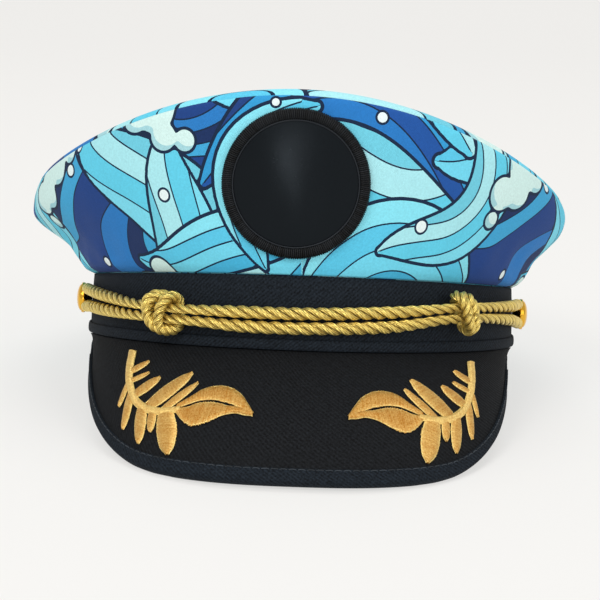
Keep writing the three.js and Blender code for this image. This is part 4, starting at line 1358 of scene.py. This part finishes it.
def plies(centres, normals, radius, pitch, tone_seed):
    """Twisted plies and a core along a closed centre line. Each ply is painted lighter on its
    outside and darker on its inside, and the core gets the darkest tone: painted light, and
    painted shade in the grooves between the plies.
    """
    tangent = unit(np.roll(centres, -1, 0) - np.roll(centres, 1, 0))
    across = unit(np.cross(tangent, normals))
    normal = np.cross(across, tangent)
    hop = np.linalg.norm(np.roll(centres, -1, 0) - centres, axis=-1)
    run = np.concatenate([[0], np.cumsum(hop)[:-1]])
    turns = round(hop.sum() / pitch)
    rng = np.random.default_rng(tone_seed)
    # the core's tone 0 is the darkest: painted shade where it shows between the plies
    paths = [(centres, CORE_RADIUS * radius, 0.0, 0, True)]
    for k in range(PLIES):
        angle = ROUND * (turns * run / hop.sum() + k / PLIES)
        swing = normal * column(np.cos(angle)) + across * column(np.sin(angle))
        tone = rng.uniform(0.41, 0.57)
        line = centres + swing * column(PLY_SWING * radius)
        # 0.4 times the swing: each ply painted lighter on its outside and darker on its inside
        paths.append((line, PLY_RADIUS * radius, tone, 0.4 * swing, True))
    return paths


def evenly(points, extra, spacing):
    """Points spread evenly along a closed line, with what goes with them."""
    both = np.concatenate([points, extra], 1)
    both = np.concatenate([both, both[:1]], 0)
    run = run_along(both[:, :3])
    at = np.linspace(0, run[-1], int(run[-1] / spacing), endpoint=False)
    out = read_off(at, run, both)
    return out[:, :3], out[:, 3:]


def cord_at(azimuth):
    """The cord's middle height, its strands' reach from there, their radius and stand-off."""
    rise, spread, thickness, lift = np.moveaxis(along(CORD_ROUTE, azimuth), -1, 0)
    radius = CORD_DIAMETER / 2 * thickness
    stand_off = GAP + radius + CORD_DIAMETER * lift
    return BAND_FRONT_HEIGHT * rise, CORD_DIAMETER / 2 * spread, radius, stand_off


def cord():
    """One closed loop: along the front, round a button's shank, back, and round the other."""
    straight = np.linspace(-BUTTON_AZIMUTH, BUTTON_AZIMUTH, 400)
    swings = np.radians(np.linspace(82, -82, 15))
    rows = [(a, math.pi / 2) for a in straight]
    rows += [(straight[-1], s) for s in swings]
    rows += [(a, -math.pi / 2) for a in straight[::-1]]
    rows += [(straight[0], math.pi + s) for s in swings]
    a, swing = np.array(rows).T
    height, reach, radius, stand_off = cord_at(np.degrees(a))
    centres = on_band(a, height + reach * np.sin(swing), stand_off)
    centres = centres + sideways(a) * column(reach * np.cos(swing))
    centres, rest = evenly(centres, np.concatenate([outward(a), column(radius)], 1), 0.7)
    paths = plies(centres, unit(rest[:, :3]), rest[:, 3], TWIST_PITCH, 1)
    return threads("cord_plies", paths, 12, GOLD_CORD)


def knot(name, azimuth, turns):
    """A slide knot: turns side by side round both strands, leaning over each other."""
    a = math.radians(azimuth)
    height, reach, cord_radius, stand_off = cord_at(azimuth)
    middle = on_band(a, height, stand_off)
    cos, sin = np.cos(azimuths(120)), np.sin(azimuths(120))
    squared_cos = np.sign(cos) * np.abs(cos) ** KNOT_SQUARENESS
    squared_sin = np.sign(sin) * np.abs(sin) ** KNOT_SQUARENESS
    paths = []
    for ease, thick, skew, lean, shift in turns:
        radius = KNOT_DIAMETER / 2 * thick
        half_across = cord_radius + KNOT_EASE * ease + radius
        half_up = reach + half_across
        centres = (
            middle
            + outward(a) * column(half_across * squared_cos)
            + UP * column(half_up * squared_sin)
            + sideways(a) * column(KNOT_SKEW * (shift - skew * cos) - KNOT_LEAN * lean * sin)
        )
        normals = outward(a) * column(cos) + UP * column(sin)
        centres, rest = evenly(centres, normals, 0.6)
        paths += plies(centres, unit(rest), np.full(len(centres), radius), KNOT_TWIST_PITCH, 2)
    return threads(name, paths, 12, GOLD_CORD)


joins(cord(), "gold_cord", "cord")
for name, azimuth, turns in KNOTS:
    joins(knot(f"{name}_plies", azimuth, turns), "gold_cord", name)


def button(name, a):
    """A turned dome with a rolled rim and a groove inside it, on a thin shank."""
    seat = 2 * GAP + CORD_DIAMETER * CORD_UNDER_BUTTON
    wide, tall = BUTTON_RIM_HALF_WIDTH, BUTTON_RIM_HALF_HEIGHT
    profile = [(0, GAP), (SHANK_RADIUS, GAP), (SHANK_RADIUS, seat - 0.2)]
    profile += [(SHANK_RADIUS + 0.2, seat)] + [(BUTTON_RADIUS * s, seat) for s in (0.4, 0.7, 0.9)]
    for s in np.radians(np.linspace(-90, 90, 9)):
        out = BUTTON_RADIUS - wide + wide * math.cos(s)
        profile.append((out, seat + tall + tall * math.sin(s)))
    foot = seat + BUTTON_DOME_FOOT
    profile += [(BUTTON_RADIUS * 0.9, foot), (BUTTON_RADIUS * 0.89, foot - 0.05)]
    for s in np.linspace(0, math.pi / 2, 16):
        out = BUTTON_RADIUS * BUTTON_DOME_SHARE * math.cos(s)
        profile.append((out, foot + (BUTTON_RISE - BUTTON_DOME_FOOT) * math.sin(s)))
    out, over = np.array(profile).T
    angle = azimuths(64)[:, None]
    sections = (
        on_band(a, cord_at(math.degrees(a))[0])
        + outward(a) * column(over + 0 * angle)
        + sideways(a) * column(out * np.cos(angle))
        + UP * column(out * np.sin(angle))
    )
    return piece_of(grid_mesh(name, sections, True, cloth_map(sections, True), poles=True), GILT)


for name, azimuth in (("left_button", -BUTTON_AZIMUTH), ("right_button", BUTTON_AZIMUTH)):
    joins(button(f"{name}_gilt", azimuth), "gilt_metal", name)

# ---------------------------------------------------------------- room, light and camera


def studio():
    """A seamless white sweep under and behind the hat, in metres."""
    bend = np.linspace(0.1, math.pi / 2, 14)
    outline = [(SWEEP_FRONT, 0), (SWEEP_BACK, 0)]
    outline += [
        (SWEEP_BACK + SWEEP_BEND * math.sin(t), SWEEP_BEND * (1 - math.cos(t))) for t in bend
    ]
    outline += [(SWEEP_BACK + SWEEP_BEND, SWEEP_TOP)]
    mesh = bpy.data.meshes.new("studio_sweep")
    places = [(x, y, z - SWEEP_DROP) for y, z in outline for x in (-SWEEP_SIDE, SWEEP_SIDE)]
    faces = [(2 * i, 2 * i + 1, 2 * i + 3, 2 * i + 2) for i in range(len(outline) - 1)]
    mesh.from_pydata(places, [], faces)
    mesh.shade_smooth()
    # opal acrylic lit from behind: its own glow keeps the shadows on it faint
    material, _, _ = shader(
        "lit opal acrylic",
        "#8C8B89",
        0.9,
        specular_ior_level=0.1,
        emission_color=srgb("#F5F4F2"),
        emission_strength=0.67,
    )
    piece_of(mesh, material)


def lamp(name, place, aim, size, power):
    """A round soft box, in metres and watts."""
    data = bpy.data.lights.new(name, "AREA")
    data.shape, data.size, data.energy = "DISK", size, power
    light = link(name, data)
    light.location = place
    light.rotation_euler = (Vector(aim) - Vector(place)).to_track_quat("-Z", "Y").to_euler()


def ambient():
    """Even pale light from all sides."""
    world = bpy.data.worlds.new("studio")
    bpy.context.scene.world = world
    world.use_nodes = True
    sockets = world.node_tree.nodes["Background"].inputs
    sockets["Color"].default_value = srgb("#FBFAF8")
    sockets["Strength"].default_value = 0.66


def camera():
    """Where the photograph was taken from: level with the band and 0.9 m in front of it."""
    data = bpy.data.cameras.new("camera")
    data.lens, data.sensor_width = LENS, SENSOR_WIDTH
    ahead, up = (Vector(at_rest(way) - at_rest(0 * way)) for way in (VIEW_AHEAD, 1000 * UP))
    back = -ahead.normalized()
    right = up.cross(back).normalized()
    turned = Matrix((right, back.cross(right), back)).transposed().to_4x4()
    roll = Matrix.Rotation(math.radians(VIEW_ROLL), 4, "Z")
    view = link("camera", data)
    view.matrix_world = Matrix.Translation(Vector(at_rest(EYE))) @ turned @ roll
    bpy.context.scene.camera = view


studio()
ambient()
for row in LAMPS:
    lamp(*row)
camera()
bpy.context.scene.view_settings.view_transform = "Standard"
